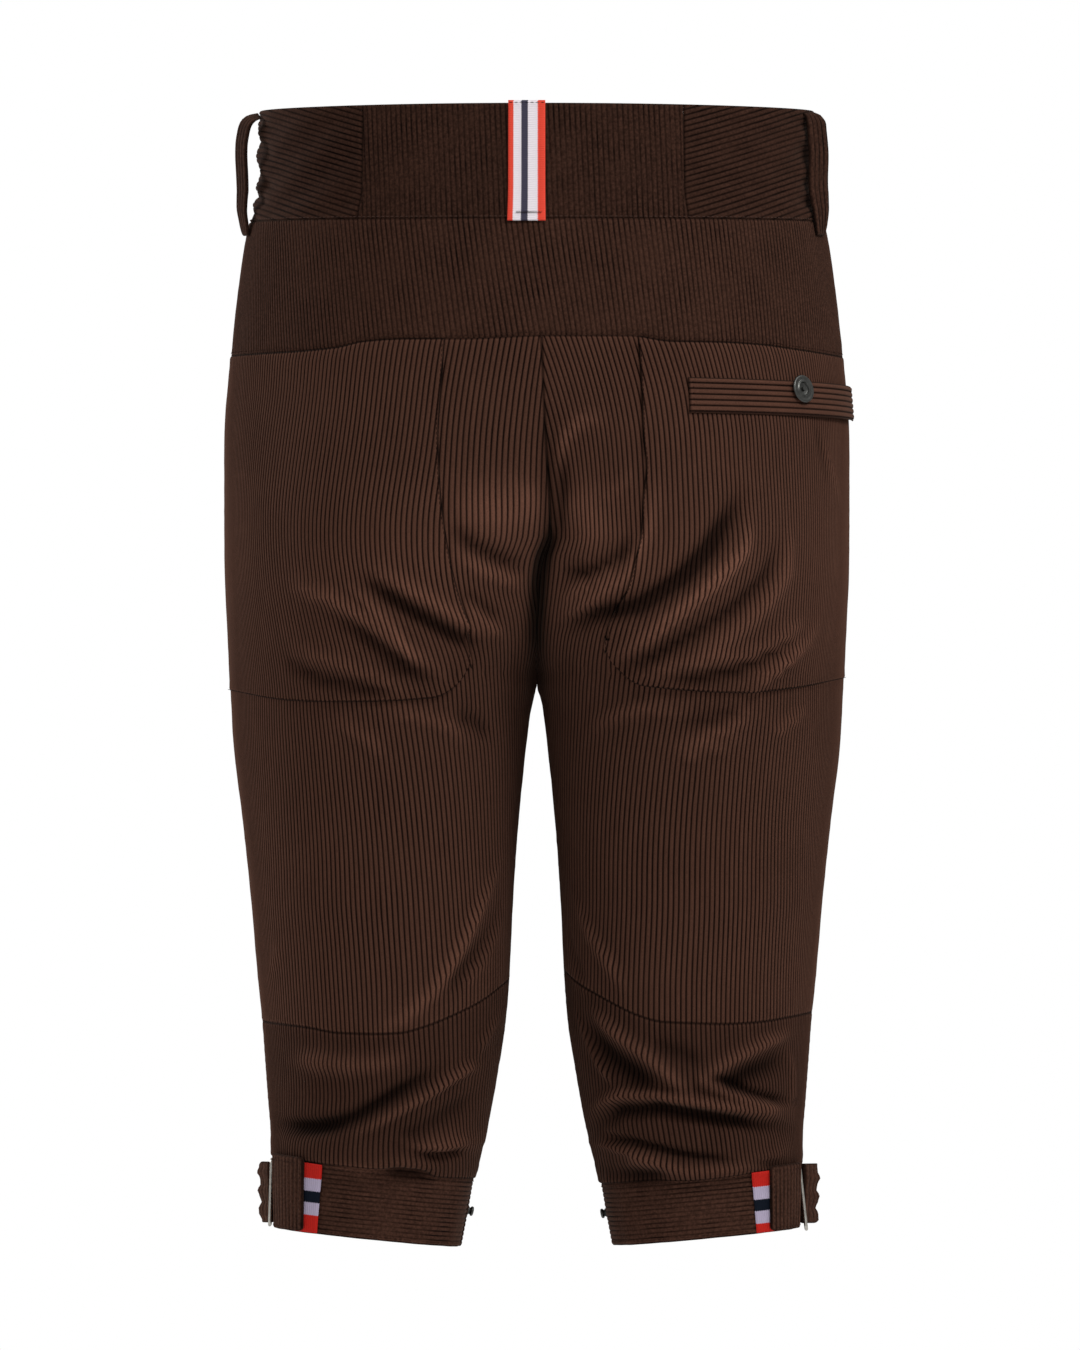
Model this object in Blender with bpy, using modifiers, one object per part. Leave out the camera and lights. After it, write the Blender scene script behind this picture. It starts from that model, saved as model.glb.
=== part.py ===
"""Knee breeches in wide-wale corduroy, filled out with no wearer.

The origin is the middle of the waist opening. Z is up, -Y is the back of the garment and +X is the
wearer's right. Every cloth piece is cut from one skin, which is a loft through the rows of SECTIONS.
"""

import bmesh
import bpy
import numpy as np
from mathutils import Vector

for thing in list(bpy.data.objects):
    bpy.data.objects.remove(thing, do_unlink=True)

MM = 0.001
CLOTH = 1.6  # wall of a single piece
PATCH = 1.3  # wall of a seat patch
PATCH_LIFT = 0.6  # under a seat patch
GAP = 0.3  # between pieces at a seam
SQUARE = 2.25  # exponent of the sections, 2 is an ellipse
CROTCH = -373.0
WAIST_SEAM = -78.0
YOKE_MIDDLE = -150.5  # height of the yoke's seam at the middle of the back
SIDE = 0.5  # share of the way round a half, from the middle of the back to the middle of the front
SIDE_X = 175.0  # |x| of a leg's outer side, where the cuffs' edges are measured
FOLD_MARGIN = 14.0  # from the middle seams, where folds die away
LEAN_REACH, LEAN_DEPTH = 45.0, 12.0  # how far the lean of the middle of the back carries

# z, outer half width, reach of the back past the middle, reach of the front past the middle, back depth,
# front depth. A negative reach is the distance from the middle to the inner face of the leg.
SECTIONS = (
    (0, 183.8, 183.8, 183.8, 116, 114),
    (-52, 184.8, 184.8, 184.8, 121, 118.5),
    (WAIST_SEAM, 191.5, 191.5, 191.5, 124.5, 121),
    (-90, 193.8, 193.8, 193.8, 127, 122),
    (-115, 197.4, 197.4, 197.4, 131, 124),
    (-166, 202.8, 202.8, 202.8, 140, 127),
    (-220, 206.6, 130, 206.6, 149, 128),
    (-262, 206.6, 78, 190, 152, 127),
    (-300, 206.4, 46, 90, 150, 124),
    (-335, 205, 22, 42, 143, 118),
    (-358, 203.9, 8, 15, 136, 112),
    (-368, 203.5, 2, 4, 132.5, 109),
    (CROTCH, 203.3, 0, 0, 131, 108),
    (-381, 202.9, -0.5, -0.5, 128, 106),
    (-391, 202.4, -3.6, -3.6, 124.5, 104),
    (-417, 201, -7, -7, 118, 100),
    (-470, 194.7, -12.5, -12.5, 107, 95),
    (-523, 189.1, -16.2, -16.2, 98, 91),
    (-576, 184.5, -18.8, -18.8, 89, 89),
    (-602, 181.8, -20.8, -20.8, 86, 87),
    (-628, 179.9, -24.8, -24.8, 83, 83),
    (-655, 177.9, -29.4, -29.4, 78, 77),
    (-681, 175.9, -34.7, -34.7, 72, 70),
    (-700, 175.5, -39.8, -39.8, 67, 65),
    (-712, 175.2, -42.5, -42.5, 64, 62),
    (-757, 173.7, -52, -52, 59, 58),
)
# z, how far the middle of the back stands to the wearer's right
LEAN = (
    (0, 0), (-78, 0), (-152, 3), (-215, 5.6), (-256, 8.2), (-281, 8.9), (-298, 3.6), (-320, 1), (-345, 0),
)

# x, z of the seam under the yoke
YOKE_SEAM = (
    (-204, -162), (-161, -160.5), (-132, -158), (-113, -154), (-87, -152.5), (-49, -152.5), (3, -150.5),
    (60, -150.5), (88, -154), (122, -154.5), (149, -156), (165, -158), (204, -163),
)
# |x|, z of the lower edge of the seat patch, carried on to the crotch, left then right
PATCH_EDGE = {
    -1: (
        (0, -373), (30, -379), (46, -384), (72, -388.5), (103, -390.5), (133, -391), (163, -390),
        (204, -384),
    ),
    1: (
        (0, -373), (30, -373.5), (45, -375), (72, -380.5), (101, -383.5), (133, -385), (165, -382.5),
        (204, -376),
    ),
}
# z, |x| of the inner edge of the seat patch, carried on down the leg
PATCH_INNER = {
    -1: (
        (-150, 60.4), (-180, 62.4), (-220, 65), (-252, 64), (-276, 61.7), (-308, 55), (-329, 49), (-348, 44),
        (-384, 44), (-450, 55), (-610, 60),
    ),
    1: (
        (-150, 65.7), (-183, 67.7), (-220, 69), (-236, 71), (-260, 68.3), (-276, 67.7), (-300, 63.7),
        (-316, 59.7), (-332, 50), (-348, 45.2), (-375, 46), (-450, 55), (-610, 60),
    ),
}
PATCH_CORNER = 7.0
# |x|, z of the seam behind the knee
KNEE_SEAM = {
    -1: (
        (18, -575), (37, -589), (52, -596.5), (73, -605), (91, -609.5), (109, -610), (130, -609.5),
        (152, -606), (182, -603),
    ),
    1: (
        (18, -569.5), (31, -579), (48, -589), (67, -598), (82, -602), (103, -603), (124, -603.5),
        (146, -602.5), (167, -599.5), (182, -597),
    ),
}
# side, z of the cuff's upper edge at the outer side, its fall towards the inner side, and the same below
CUFF_EDGES = {-1: (-692.7, 0.105, -740.0, 0.102), 1: (-698.5, 0.09, -740.0, 0.095)}

# Folds: side, then x and z of the start, middle and end as seen from behind, half width, height out of the
# cloth. A negative height is a trough.
BACK_FOLDS = (
    (-1, 3, -293, -24, -298, -55, -279, 10, -5.5),
    (-1, -33, -324, -26, -336, -17, -348, 9, 3),
    (-1, -107, -310, -89, -329, -49, -343, 10, -4.5),
    (-1, -145, -313, -113, -332, -81, -360, 11, 4.5),
    (-1, -193, -329, -148, -352, -105, -377, 11, 4.5),
    (-1, -156, -361, -142, -366, -129, -370, 9, -3),
    (-1, -133, -399, -97, -401, -57, -398, 9, 2.5),
    (-1, -144, -401, -126, -408, -109, -414, 9, -3),
    (-1, -30, -500, -52, -549, -72, -582, 13, 5.5),
    (-1, -24, -549, -27, -565, -30, -578, 9, -4),
    (-1, -183, -577, -163, -557, -144, -537, 12, 3),
    (-1, -32, -627, -87, -658, -123, -684, 10, 6.5),
    (-1, -66, -636, -86, -650, -109, -665, 8, -4),
    (-1, -176, -624, -158, -628, -138, -634, 9, 3),
    (-1, -141, -688, -104, -690, -64, -697, 9, 4),
    (1, 42, -203, 16, -213, 10, -230, 9, 4.5),
    (1, 14, -222, 11, -255, 8, -284, 8, -4),
    (1, 6, -330, 30, -320, 53, -308, 9, 3.5),
    (1, 16, -336, 69, -321, 117, -287, 10, -6.5),
    (1, 53, -355, 101, -319, 136, -277, 10, 5.5),
    (1, 61, -363, 110, -336, 149, -307, 9, -4.5),
    (1, 117, -366, 143, -360, 165, -344, 9, -3.5),
    (1, 143, -371, 162, -360, 195, -328, 10, 3.5),
    (1, 45, -389, 62, -395, 78, -401, 9, 2.5),
    (1, 150, -389, 131, -399, 99, -411, 9, 3.5),
    (1, 33, -535, 52, -569, 58, -582, 12, 5.5),
    (1, 22, -569, 30, -576, 38, -586, 9, -4),
    (1, 50, -605, 74, -620, 94, -633, 10, 4.5),
    (1, 159, -609, 135, -620, 111, -629, 10, 4.5),
    (1, 31, -660, 88, -650, 176, -667, 9, 6.5),
    (1, 40, -671, 95, -662, 172, -679, 8, -4),
    (1, 37, -682, 60, -688, 84, -692, 9, 4),
)
FRONT_FOLDS = (
    (-1, -12, -340, -60, -310, -120, -262, 12, 5),
    (-1, -10, -362, -64, -338, -130, -305, 10, -4),
    (-1, -60, -405, -110, -386, -168, -384, 12, 3.5),
    (-1, -34, -560, -78, -578, -130, -570, 12, 4.5),
    (-1, -46, -620, -98, -640, -160, -628, 10, 5.5),
    (-1, -44, -664, -104, -674, -168, -660, 9, 4.5),
    (-1, -60, -642, -100, -656, -150, -646, 8, -4),
    (1, 12, -344, 66, -318, 112, -268, 12, 4.5),
    (1, 12, -366, 60, -346, 126, -322, 10, -4),
    (1, 70, -398, 118, -396, 176, -404, 12, 3.5),
    (1, 40, -548, 92, -572, 150, -562, 12, 4.5),
    (1, 42, -636, 100, -622, 166, -632, 10, 5.5),
    (1, 50, -652, 102, -660, 160, -668, 8, -4),
    (1, 50, -676, 100, -680, 160, -686, 9, 4.5),
)

CORDUROY = (0.045, 0.024, 0.016)
CORDUROY_DARK = (0.034, 0.018, 0.012)
RIBBON = (0.72, 0.08, 0.05)
GUNMETAL = (0.12, 0.11, 0.10)
SILVER = (0.45, 0.43, 0.38)

garment = bpy.data.collections.new("knee_breeches")
bpy.context.scene.collection.children.link(garment)


def follow(table, at):
    """A smooth curve through a table's rows with no overshoot. The first column is where each row stands."""
    rows = np.array(sorted(table), float)
    knots, values = rows[:, 0], rows[:, 1:]
    rise = np.diff(values, axis=0) / np.diff(knots)[:, None]
    slope = np.zeros_like(values)
    same = rise[:-1] * rise[1:] > 0
    total = np.where(same, rise[:-1] + rise[1:], 1)
    slope[1:-1] = np.where(same, 2 * rise[:-1] * rise[1:] / total, 0)
    slope[0], slope[-1] = rise[0], rise[-1]
    at = np.clip(np.asarray(at, float), knots[0], knots[-1])
    i = np.clip(np.searchsorted(knots, at) - 1, 0, len(knots) - 2)
    wide = (knots[i + 1] - knots[i])[..., None]
    t = (at - knots[i])[..., None] / wide
    start = (1 + 2 * t) * (1 - t) ** 2 * values[i] + t * (1 - t) ** 2 * wide * slope[i]
    end = t * t * (3 - 2 * t) * values[i + 1] - t * t * (1 - t) * wide * slope[i + 1]
    return np.moveaxis(start + end, -1, 0)


def section(z, front):
    """Centre, half width and depth of the section here, and the angle at which it meets the middle."""
    outer, reach_back, reach_front, back, deep = follow(SECTIONS, z)
    reach = np.minimum(np.where(front, reach_front, reach_back), outer)
    centre, half = (outer - reach) / 2, (outer + reach) / 2
    start = np.arccos(np.minimum(centre / half, 1) ** (SQUARE / 2))
    return centre, half, np.where(front, deep, back), start


def outside(x, y, z, front):
    """How far a place is outside the section at its height: 0 on the skin."""
    centre, half, deep, _ = section(z, front)
    return np.abs((x - centre) / half) ** SQUARE + np.abs(y / deep) ** SQUARE - 1


def bare(share, z):
    """Places on the skin with no folds, for |x|, and the way out from each. share is 0 to 1."""
    front = share > SIDE
    centre, half, deep, start = section(z, front)
    part = np.where(front, 2 - 2 * share, 2 * share)
    angle = start + (np.pi - start) * part
    c, s = np.cos(angle), np.sin(angle)
    x = centre - half * np.sign(c) * np.abs(c) ** (2 / SQUARE)
    y = deep * np.abs(s) ** (2 / SQUARE) * np.where(front, 1, -1)
    toward_x = np.sign(x - centre) * np.abs((x - centre) / half) ** (SQUARE - 1) / half
    toward_y = np.sign(y) * np.abs(y / deep) ** (SQUARE - 1) / deep
    toward_z = (outside(x, y, z + 0.5, front) - outside(x, y, z - 0.5, front)) / SQUARE
    way = np.stack([toward_x, toward_y, toward_z], -1)
    return np.stack([x, y, z], -1), way / np.linalg.norm(way, axis=-1, keepdims=True)


def fold_lines():
    """Each fold of the tables as three places on the skin with no folds, its side, half width and height."""
    lines = []
    for front, table in ((False, BACK_FOLDS), (True, FRONT_FOLDS)):
        for side, *ends, width, height in table:
            x, z = side * np.array(ends[0::2], float), np.array(ends[1::2], float)
            places, _ = bare(share_at(x, z, front), z)
            places[:, 0] *= side
            lines.append((side, places, width, height))
    return lines


def share_at(x, z, front=False):
    """The share of the way round at which the skin stands |x| from the middle at this height."""
    centre, half, _, start = section(z, front)
    c = np.clip((centre - x) / half, -1, 1)
    part = (np.arccos(np.sign(c) * np.abs(c) ** (SQUARE / 2)) - start) / (np.pi - start)
    part = np.clip(part, 0, 1) / 2
    return 1 - part if front else part


def folded(places, way, lines):
    """How far the folds move each of these places out. They die away where the cloth turns to the side."""
    out = np.zeros(places.shape[:-1])
    for side, line, width, height in lines:
        best, along = np.full(out.shape, 1e9), np.zeros(out.shape)
        for n in (0, 1):
            run = line[n + 1] - line[n]
            t = np.clip(((places - line[n]) @ run) / (run @ run), 0, 1)
            far = np.linalg.norm(places - line[n] - t[..., None] * run, axis=-1)
            along = np.where(far < best, (n + t) / 2, along)
            best = np.minimum(best, far)
        shape = height * (0.3 + 0.7 * np.sin(np.pi * along)) * np.exp(-((best / width) ** 2))
        out += np.where(places[..., 0] * side > 0, shape, 0)
    turned_away = np.clip((np.abs(way[..., 0]) - 0.7) / 0.3, 0, 1)
    return out * (1 - np.exp(-((places[..., 0] / FOLD_MARGIN) ** 2))) * (1 - 0.8 * turned_away)


FOLDS = fold_lines()


def skin(share, z):
    """Places on the folded skin and the way out from each. A negative share is the wearer's left."""
    share = (np.asarray(share, float) + 1) % 2 - 1
    share, z = np.broadcast_arrays(share, z)
    places, way = bare(np.abs(share), z)
    side = np.where(share < 0, -1.0, 1.0)
    places[..., 0] *= side
    way[..., 0] *= side
    return places + way * folded(places, way, FOLDS)[..., None], way


def leaned(places):
    """Moves the middle of the back over to where its seam runs."""
    near = np.exp(-((places[..., 0] / LEAN_REACH) ** 2)) / (1 + np.exp(places[..., 1] / LEAN_DEPTH))
    moved = places.copy()
    moved[..., 0] += follow(LEAN, places[..., 2])[0] * near
    return moved


def shown(name, data, colour, metallic=0.0, roughness=0.9):
    """Puts a mesh or a curve in the garment, in a material of its own."""
    obj = bpy.data.objects.new(name, data)
    garment.objects.link(obj)
    material = bpy.data.materials.new(name)
    material.use_nodes = True
    shader = material.node_tree.nodes["Principled BSDF"]
    shader.inputs["Base Color"].default_value = (*colour, 1)
    shader.inputs["Metallic"].default_value = metallic
    shader.inputs["Roughness"].default_value = roughness
    data.materials.append(material)
    return obj


def between(name, outer, inner, colour, ring=False):
    """A closed solid between two grids of points. A ring's last column meets its first."""
    if ring:
        outer, inner = (np.concatenate([grid, grid[:, :1]], axis=1) for grid in (outer, inner))
    rows, cols = outer.shape[:2]
    wall = bmesh.new()
    bmesh.ops.create_grid(wall, x_segments=cols - 1, y_segments=rows - 1, size=1)
    # The faces are cut into triangles first, so that every layer has the same diagonals and none cross.
    bmesh.ops.triangulate(wall, faces=wall.faces[:], quad_method="FIXED")
    wall.verts.ensure_lookup_table()
    for vert, place in zip(wall.verts, leaned(outer).reshape(-1, 3)):
        vert.co = place * MM
    way = dict(zip((vert.co.to_tuple(9) for vert in wall.verts), leaned(inner).reshape(-1, 3)))
    if ring:
        bmesh.ops.remove_doubles(wall, verts=wall.verts[:], dist=1e-7)
    made = bmesh.ops.extrude_face_region(wall, geom=wall.faces[:])["geom"]
    for vert in made:
        if isinstance(vert, bmesh.types.BMVert):
            vert.co = way[vert.co.to_tuple(9)] * MM
    bmesh.ops.recalc_face_normals(wall, faces=wall.faces[:])
    mesh = bpy.data.meshes.new(name)
    wall.to_mesh(mesh)
    wall.free()
    return shown(name, mesh, colour)


GRIDS = {}


def apart(places):
    """Keeps a half's pieces off the middle."""
    places = places.copy()
    side = np.sign(places[..., 0].sum())
    places[..., 0] = side * np.maximum(side * places[..., 0], GAP / 2)
    return places


def panel(name, share, z, thick=CLOTH, lift=0.0, halves=True, colour=CORDUROY, ring=False):
    """A piece of the garment's own surface: its outer face is on the skin, moved out by lift."""
    places, way = skin(share, z)
    lift = np.broadcast_to(lift, places.shape[:-1])[..., None]
    outer, inner = places + way * lift, places + way * (lift - thick)
    if halves:
        outer, inner = apart(outer), apart(inner)
    GRIDS[name] = (outer, way)
    if ring:
        GRIDS[name] = tuple(np.concatenate([grid, grid[:, :1]], axis=1) for grid in (outer, way))
    return between(name, outer, inner, colour, ring)


def on(base, rows, cols):
    """Places on a piece's outer face and the ways out, at rows and columns of its grid or between them."""
    points, way = GRIDS[base]
    rows, cols = np.broadcast_arrays(np.asarray(rows, float), np.asarray(cols, float))
    r = np.clip(rows.astype(int), 0, points.shape[0] - 2)
    c = np.clip(cols.astype(int), 0, points.shape[1] - 2)
    t, u = (rows - r)[..., None], (cols - c)[..., None]
    found = [
        (grid[r, c] * (1 - u) + grid[r, c + 1] * u) * (1 - t)
        + (grid[r + 1, c] * (1 - u) + grid[r + 1, c + 1] * u) * t
        for grid in (points, way)
    ]
    return found[0], found[1] / np.linalg.norm(found[1], axis=-1, keepdims=True)


def laid(name, base, rows, cols, low, thick, colour=CORDUROY):
    """A piece that lies on another: the points under it moved out, by low for its under face."""
    places, way = on(base, rows, cols)
    low = np.broadcast_to(low, places.shape[:-1])[..., None]
    outer = places + way * (low + thick)
    GRIDS[name] = (outer, way)
    return between(name, outer, places + way * low, colour)


def steps(start, end):
    """From start to end by way of each whole number between them."""
    whole = np.arange(np.floor(start) + 1, end)
    whole = whole[(whole - start > 0.08) & (end - whole > 0.08)]
    return np.array([start, *whole, end])


def height_of(share, line):
    """The height at which each share meets a line that is given by x."""
    z = np.broadcast_to(float(line(np.array(100.0))), np.shape(share))
    for _ in range(6):
        z = line(np.sign(share) * bare(np.abs(share), z)[0][..., 0])
    return z


def column_at(base, row, x):
    cols = np.linspace(0, GRIDS[base][0].shape[1] - 1, 800)
    found = on(base, row, cols)[0][:, 0]
    order = np.argsort(found)
    return float(np.interp(x, found[order], cols[order]))


def row_at(base, col, z):
    rows = np.linspace(0, GRIDS[base][0].shape[0] - 1, 800)
    return float(np.interp(-z, -on(base, rows, col)[0][:, 2], rows))


INSET = 0.00032  # half the gap at an upright seam, as a share of the way round a half


# Waistband. The left front laps over the right.
BAND_ROWS = np.array([0, -28, -54, WAIST_SEAM + GAP / 2])[:, None]
BACK_ENDS = share_at(np.array([115.2, 97.0]), -40.0)  # where the middle piece meets the side pieces
SIDE_END = 0.57
LAP_START, LAP_RISE, LAP_END = 0.925, 0.03, 1.03
LAP_LIFT = 2.1


def band(name, shares, lift=0.0):
    shares = np.array(shares)[None, :]
    panel(name, shares, BAND_ROWS, lift=lift, halves=False, colour=CORDUROY_DARK)


band("waistband_back", np.linspace(-BACK_ENDS[0] + INSET, BACK_ENDS[1] - INSET, 17))
band("waistband_side_l", np.linspace(-SIDE_END + INSET, -BACK_ENDS[0] - INSET, 16))
band("waistband_side_r", np.linspace(BACK_ENDS[1] + INSET, SIDE_END - INSET, 17))
band("waistband_front_r", [SIDE_END + INSET, 0.63, 0.69, 0.75, 0.81, 0.87, 0.93, 0.965, 1.0, LAP_END])
lapped = [LAP_START, LAP_START + LAP_RISE, 1.0, LAP_END]
share = -np.array([SIDE_END + INSET, 0.63, 0.69, 0.75, 0.81, 0.87, *lapped])[::-1]
band("waistband_front_l", share, LAP_LIFT * np.clip((-share - LAP_START) / LAP_RISE, 0, 1)[None, :])


# Yoke
def yoke_seam(x):
    return follow(YOKE_SEAM, x)[0]


# Upper backs. Their grids follow the edges of the seat patches that lie on them.
TO_PATCH, UNDER_PATCH = 5, 12  # columns
ABOVE, BELOW = 17, 15  # rows over and under the patch's lower edge


def hem(side):
    outer, fall, _, _ = CUFF_EDGES[side]
    return lambda x: outer - fall * (SIDE_X - np.abs(x))


def cuff_foot(side):
    _, _, outer, fall = CUFF_EDGES[side]
    return lambda x: outer - fall * (SIDE_X - np.abs(x))


def knee_seam(side):
    return lambda x: follow(KNEE_SEAM[side], np.abs(x))[0]


def back_grid(side):
    row = np.arange(ABOVE + BELOW + 1)[:, None]
    col = np.arange(TO_PATCH + UNDER_PATCH + 1)[None, :]
    z = np.broadcast_to(YOKE_MIDDLE - 14.0 * row, (len(row), col.size))
    for _ in range(12):
        edge = share_at(follow(PATCH_INNER[side], z)[0], z)
        share = np.where(
            col <= TO_PATCH, edge * col / TO_PATCH, edge + (SIDE - edge) * (col - TO_PATCH) / UNDER_PATCH
        )
        share = np.clip(share, INSET, SIDE - INSET)
        x = bare(share, z)[0][..., 0]
        top = yoke_seam(side * x) - GAP / 2
        middle = follow(PATCH_EDGE[side], x)[0]
        low = knee_seam(side)(x) + GAP / 2
        z = np.where(
            row <= ABOVE, top + (middle - top) * row / ABOVE, middle + (low - middle) * (row - ABOVE) / BELOW
        )
    corner = (ABOVE, TO_PATCH)
    z[corner] += PATCH_CORNER
    share[corner] = share_at(x[corner] + PATCH_CORNER, z[corner])
    return side * share, z


YOKE_SHARES, KNEE_SHARES = {}, {}
for side, mark in ((-1, "l"), (1, "r")):
    share, z = back_grid(side)
    YOKE_SHARES[side], KNEE_SHARES[side] = share[0], share[-1]
    panel(f"back_{mark}", share, z)
    laid(
        f"seat_patch_{mark}",
        f"back_{mark}",
        np.arange(ABOVE + 1)[:, None],
        np.arange(TO_PATCH, TO_PATCH + UNDER_PATCH + 1)[None, :],
        PATCH_LIFT,
        PATCH,
    )


YOKE_ROWS = 5
share = np.concatenate([YOKE_SHARES[-1][::-1], YOKE_SHARES[1]])
share = np.broadcast_to(share, (YOKE_ROWS + 1, share.size))
foot = height_of(share, yoke_seam) + GAP / 2
head = WAIST_SEAM - GAP / 2
panel("yoke_back", share, head + (foot - head) * np.linspace(0, 1, YOKE_ROWS + 1)[:, None], halves=False)


# Lower backs and fronts
LOWER_ROWS = 9
FRONT_ROWS, FRONT_COLS = (12, 13), 11
for side, mark in ((-1, "l"), (1, "r")):
    share = np.broadcast_to(KNEE_SHARES[side], (LOWER_ROWS + 1, KNEE_SHARES[side].size))
    top, foot = height_of(share, knee_seam(side)) - GAP / 2, height_of(share, hem(side)) + GAP
    panel(f"lower_back_{mark}", share, top + (foot - top) * np.linspace(0, 1, LOWER_ROWS + 1)[:, None])

    share = side * np.linspace(SIDE + INSET, 1 - INSET, FRONT_COLS + 1)
    share = np.broadcast_to(share, (sum(FRONT_ROWS) + 1, FRONT_COLS + 1))
    foot = height_of(share[:1], hem(side)) + GAP
    upper = np.linspace(WAIST_SEAM - GAP / 2, CROTCH, FRONT_ROWS[0] + 1)[:, None] + 0 * foot
    lower = CROTCH + (foot - CROTCH) * np.linspace(0, 1, FRONT_ROWS[1] + 1)[1:, None]
    panel(f"front_{mark}", share, np.concatenate([upper, lower]))


# Fly placket, behind the centre front
PLACKET_ENDS, PLACKET_FOOT = (0.976, 1.057), -190.0
share, z = np.linspace(*PLACKET_ENDS, 6)[None, :], np.linspace(WAIST_SEAM - 2, PLACKET_FOOT, 6)[:, None]
panel("fly_placket", share, z, thick=1.4, lift=-CLOTH - 0.5, halves=False)


METAL = {"metallic": 1.0, "roughness": 0.4}


def turned(name, profile, centre, way, segments=20):
    """A metal piece turned from (radius, height) pairs, standing at centre along way."""
    mesh = bpy.data.meshes.new(name)
    points = [(radius * MM, 0, height * MM) for radius, height in profile]
    mesh.from_pydata(points, [(n, n + 1) for n in range(len(points) - 1)], [])
    obj = shown(name, mesh, GUNMETAL, **METAL)
    obj.location = centre * MM
    obj.rotation_euler = Vector(way).to_track_quat("Z", "Y").to_euler()
    screw = obj.modifiers.new("turn", "SCREW")
    screw.steps = screw.render_steps = segments
    screw.use_merge_vertices = True
    screw.merge_threshold = 1e-6
    screw.use_normal_calculate = True


# Radius and height of a button's outline, from the middle of its back to the middle of its face
BUTTON = (
    (0, 0), (3.0, 0), (3.0, 1.2), (9.0, 1.4), (9.35, 2.1), (9.0, 2.9), (8.2, 3.2), (5.6, 2.9), (5.0, 3.4),
    (4.2, 3.3), (3.8, 2.3), (1.6, 2.3), (1.3, 3.0), (0, 3.1),
)
STUD = ((0, 0), (2.6, 0), (2.9, 1.0), (2.2, 1.5), (2.4, 2.2), (3.2, 2.6), (3.1, 3.8), (2.2, 4.3), (0, 4.4))

places, way = skin(1.008, -38.0)
turned("waist_button", BUTTON, places + way * (LAP_LIFT + 0.4), way)


# Rear welt and its button, on the right seat patch
WELT_X = 99.0  # its inner end
WELT_EDGES = ((-178.9, -182.8), (-202.6, -205.3))  # z of its upper and lower edge at its inner and outer end
BUTTON_X, BUTTON_ROW = 171.0, 0.85
start = column_at("seat_patch_r", 2.5, WELT_X)
cols = steps(start, UNDER_PATCH)
edges = [
    [row_at("seat_patch_r", col, np.interp(col, (start, UNDER_PATCH), ends)) for col in cols]
    for ends in WELT_EDGES
]
laid("pocket_welt", "seat_patch_r", np.linspace(*edges, 3), cols[None, :], GAP + 0.1, 1.5, CORDUROY_DARK)
places, way = on("pocket_welt", BUTTON_ROW, column_at("pocket_welt", BUTTON_ROW, BUTTON_X))
turned("pocket_button", BUTTON, places + way * 0.45, way)


# Ribbon loop at the back and corduroy loops at the sides
RIBBON_ENDS = (-18.8, 5.6)  # x
RIBBON_COURSE = ((0, 0.4), (0.12, 0.8), (1, 1.2), (2, 1.2), (2.86, 0.7), (2.99, 0.4))  # row, lift
ends = [column_at("waistband_back", 1.0, x) for x in RIBBON_ENDS]
rows, bow = np.array(RIBBON_COURSE).T[..., None]
laid("belt_ribbon", "waistband_back", rows, steps(*ends)[None, :], bow, 1.1, RIBBON)

LOOPS = {  # share of its two edges, then z and lift down its length
    "belt_loop_l": (
        (0.440, 0.472),
        ((-1, 1.5), (-3, 8), (-7, 12), (-30, 13), (-56, 12.5), (-67, 9), (-76, 3.2), (-83, 0.9)),
    ),
    "belt_loop_r": (
        (0.408, 0.440),
        ((-1, 1.2), (-3, 4), (-9, 7), (-32, 7.8), (-54, 7.5), (-66, 5.5), (-76, 2.4), (-83, 0.9)),
    ),
}
for name, (edges, course) in LOOPS.items():
    side = -1 if name.endswith("l") else 1
    z, lift = np.array(course, float).T[..., None]
    panel(name, side * np.linspace(*edges, 4)[None, :], z, 1.8, lift + 1.8, False, CORDUROY_DARK)


# Cuffs: the band is a ring, and the other pieces lie on it by its columns. Column 14 is the outer side.
CUFF_COLS, CUFF_ROWS = 28, 2
CUFF_WALL, CUFF_BAG = 2.2, 0.8  # and how far in its upper edge stands, under the cloth above
RIBBON_COLS, TAB_COLS = (9.08, 10.5), (10.0, 12.3)
BUCKLE_COL, STUD_COL, STUD_ROW = 13.55, 27.35, 0.97
# Column and lift of the strap, which bows out through the buckle
STRAP = (
    (13.75, 0.5), (14.0, 2.6), (14.3, 5.4), (14.7, 7.6), (15.2, 8.0), (15.8, 6.2), (16.4, 3.4), (17.1, 1.1),
    (18, 0.5), (19, 0.5), (20, 0.5), (21, 0.5), (22, 0.5), (22.6, 0.5),
)
BUCKLE_SIZE = (20.0, 45.0)  # between the middles of its bars
BUCKLE_BAR, BUCKLE_TURN, BUCKLE_TURN_POINTS, BUCKLE_LIFT = 2.0, 2.5, 4, 2.7


def angle_of(n):
    """The middle of the corner that this point of the buckle's line belongs to."""
    return np.pi / 2 * (n // BUCKLE_TURN_POINTS + 0.5)


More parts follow.
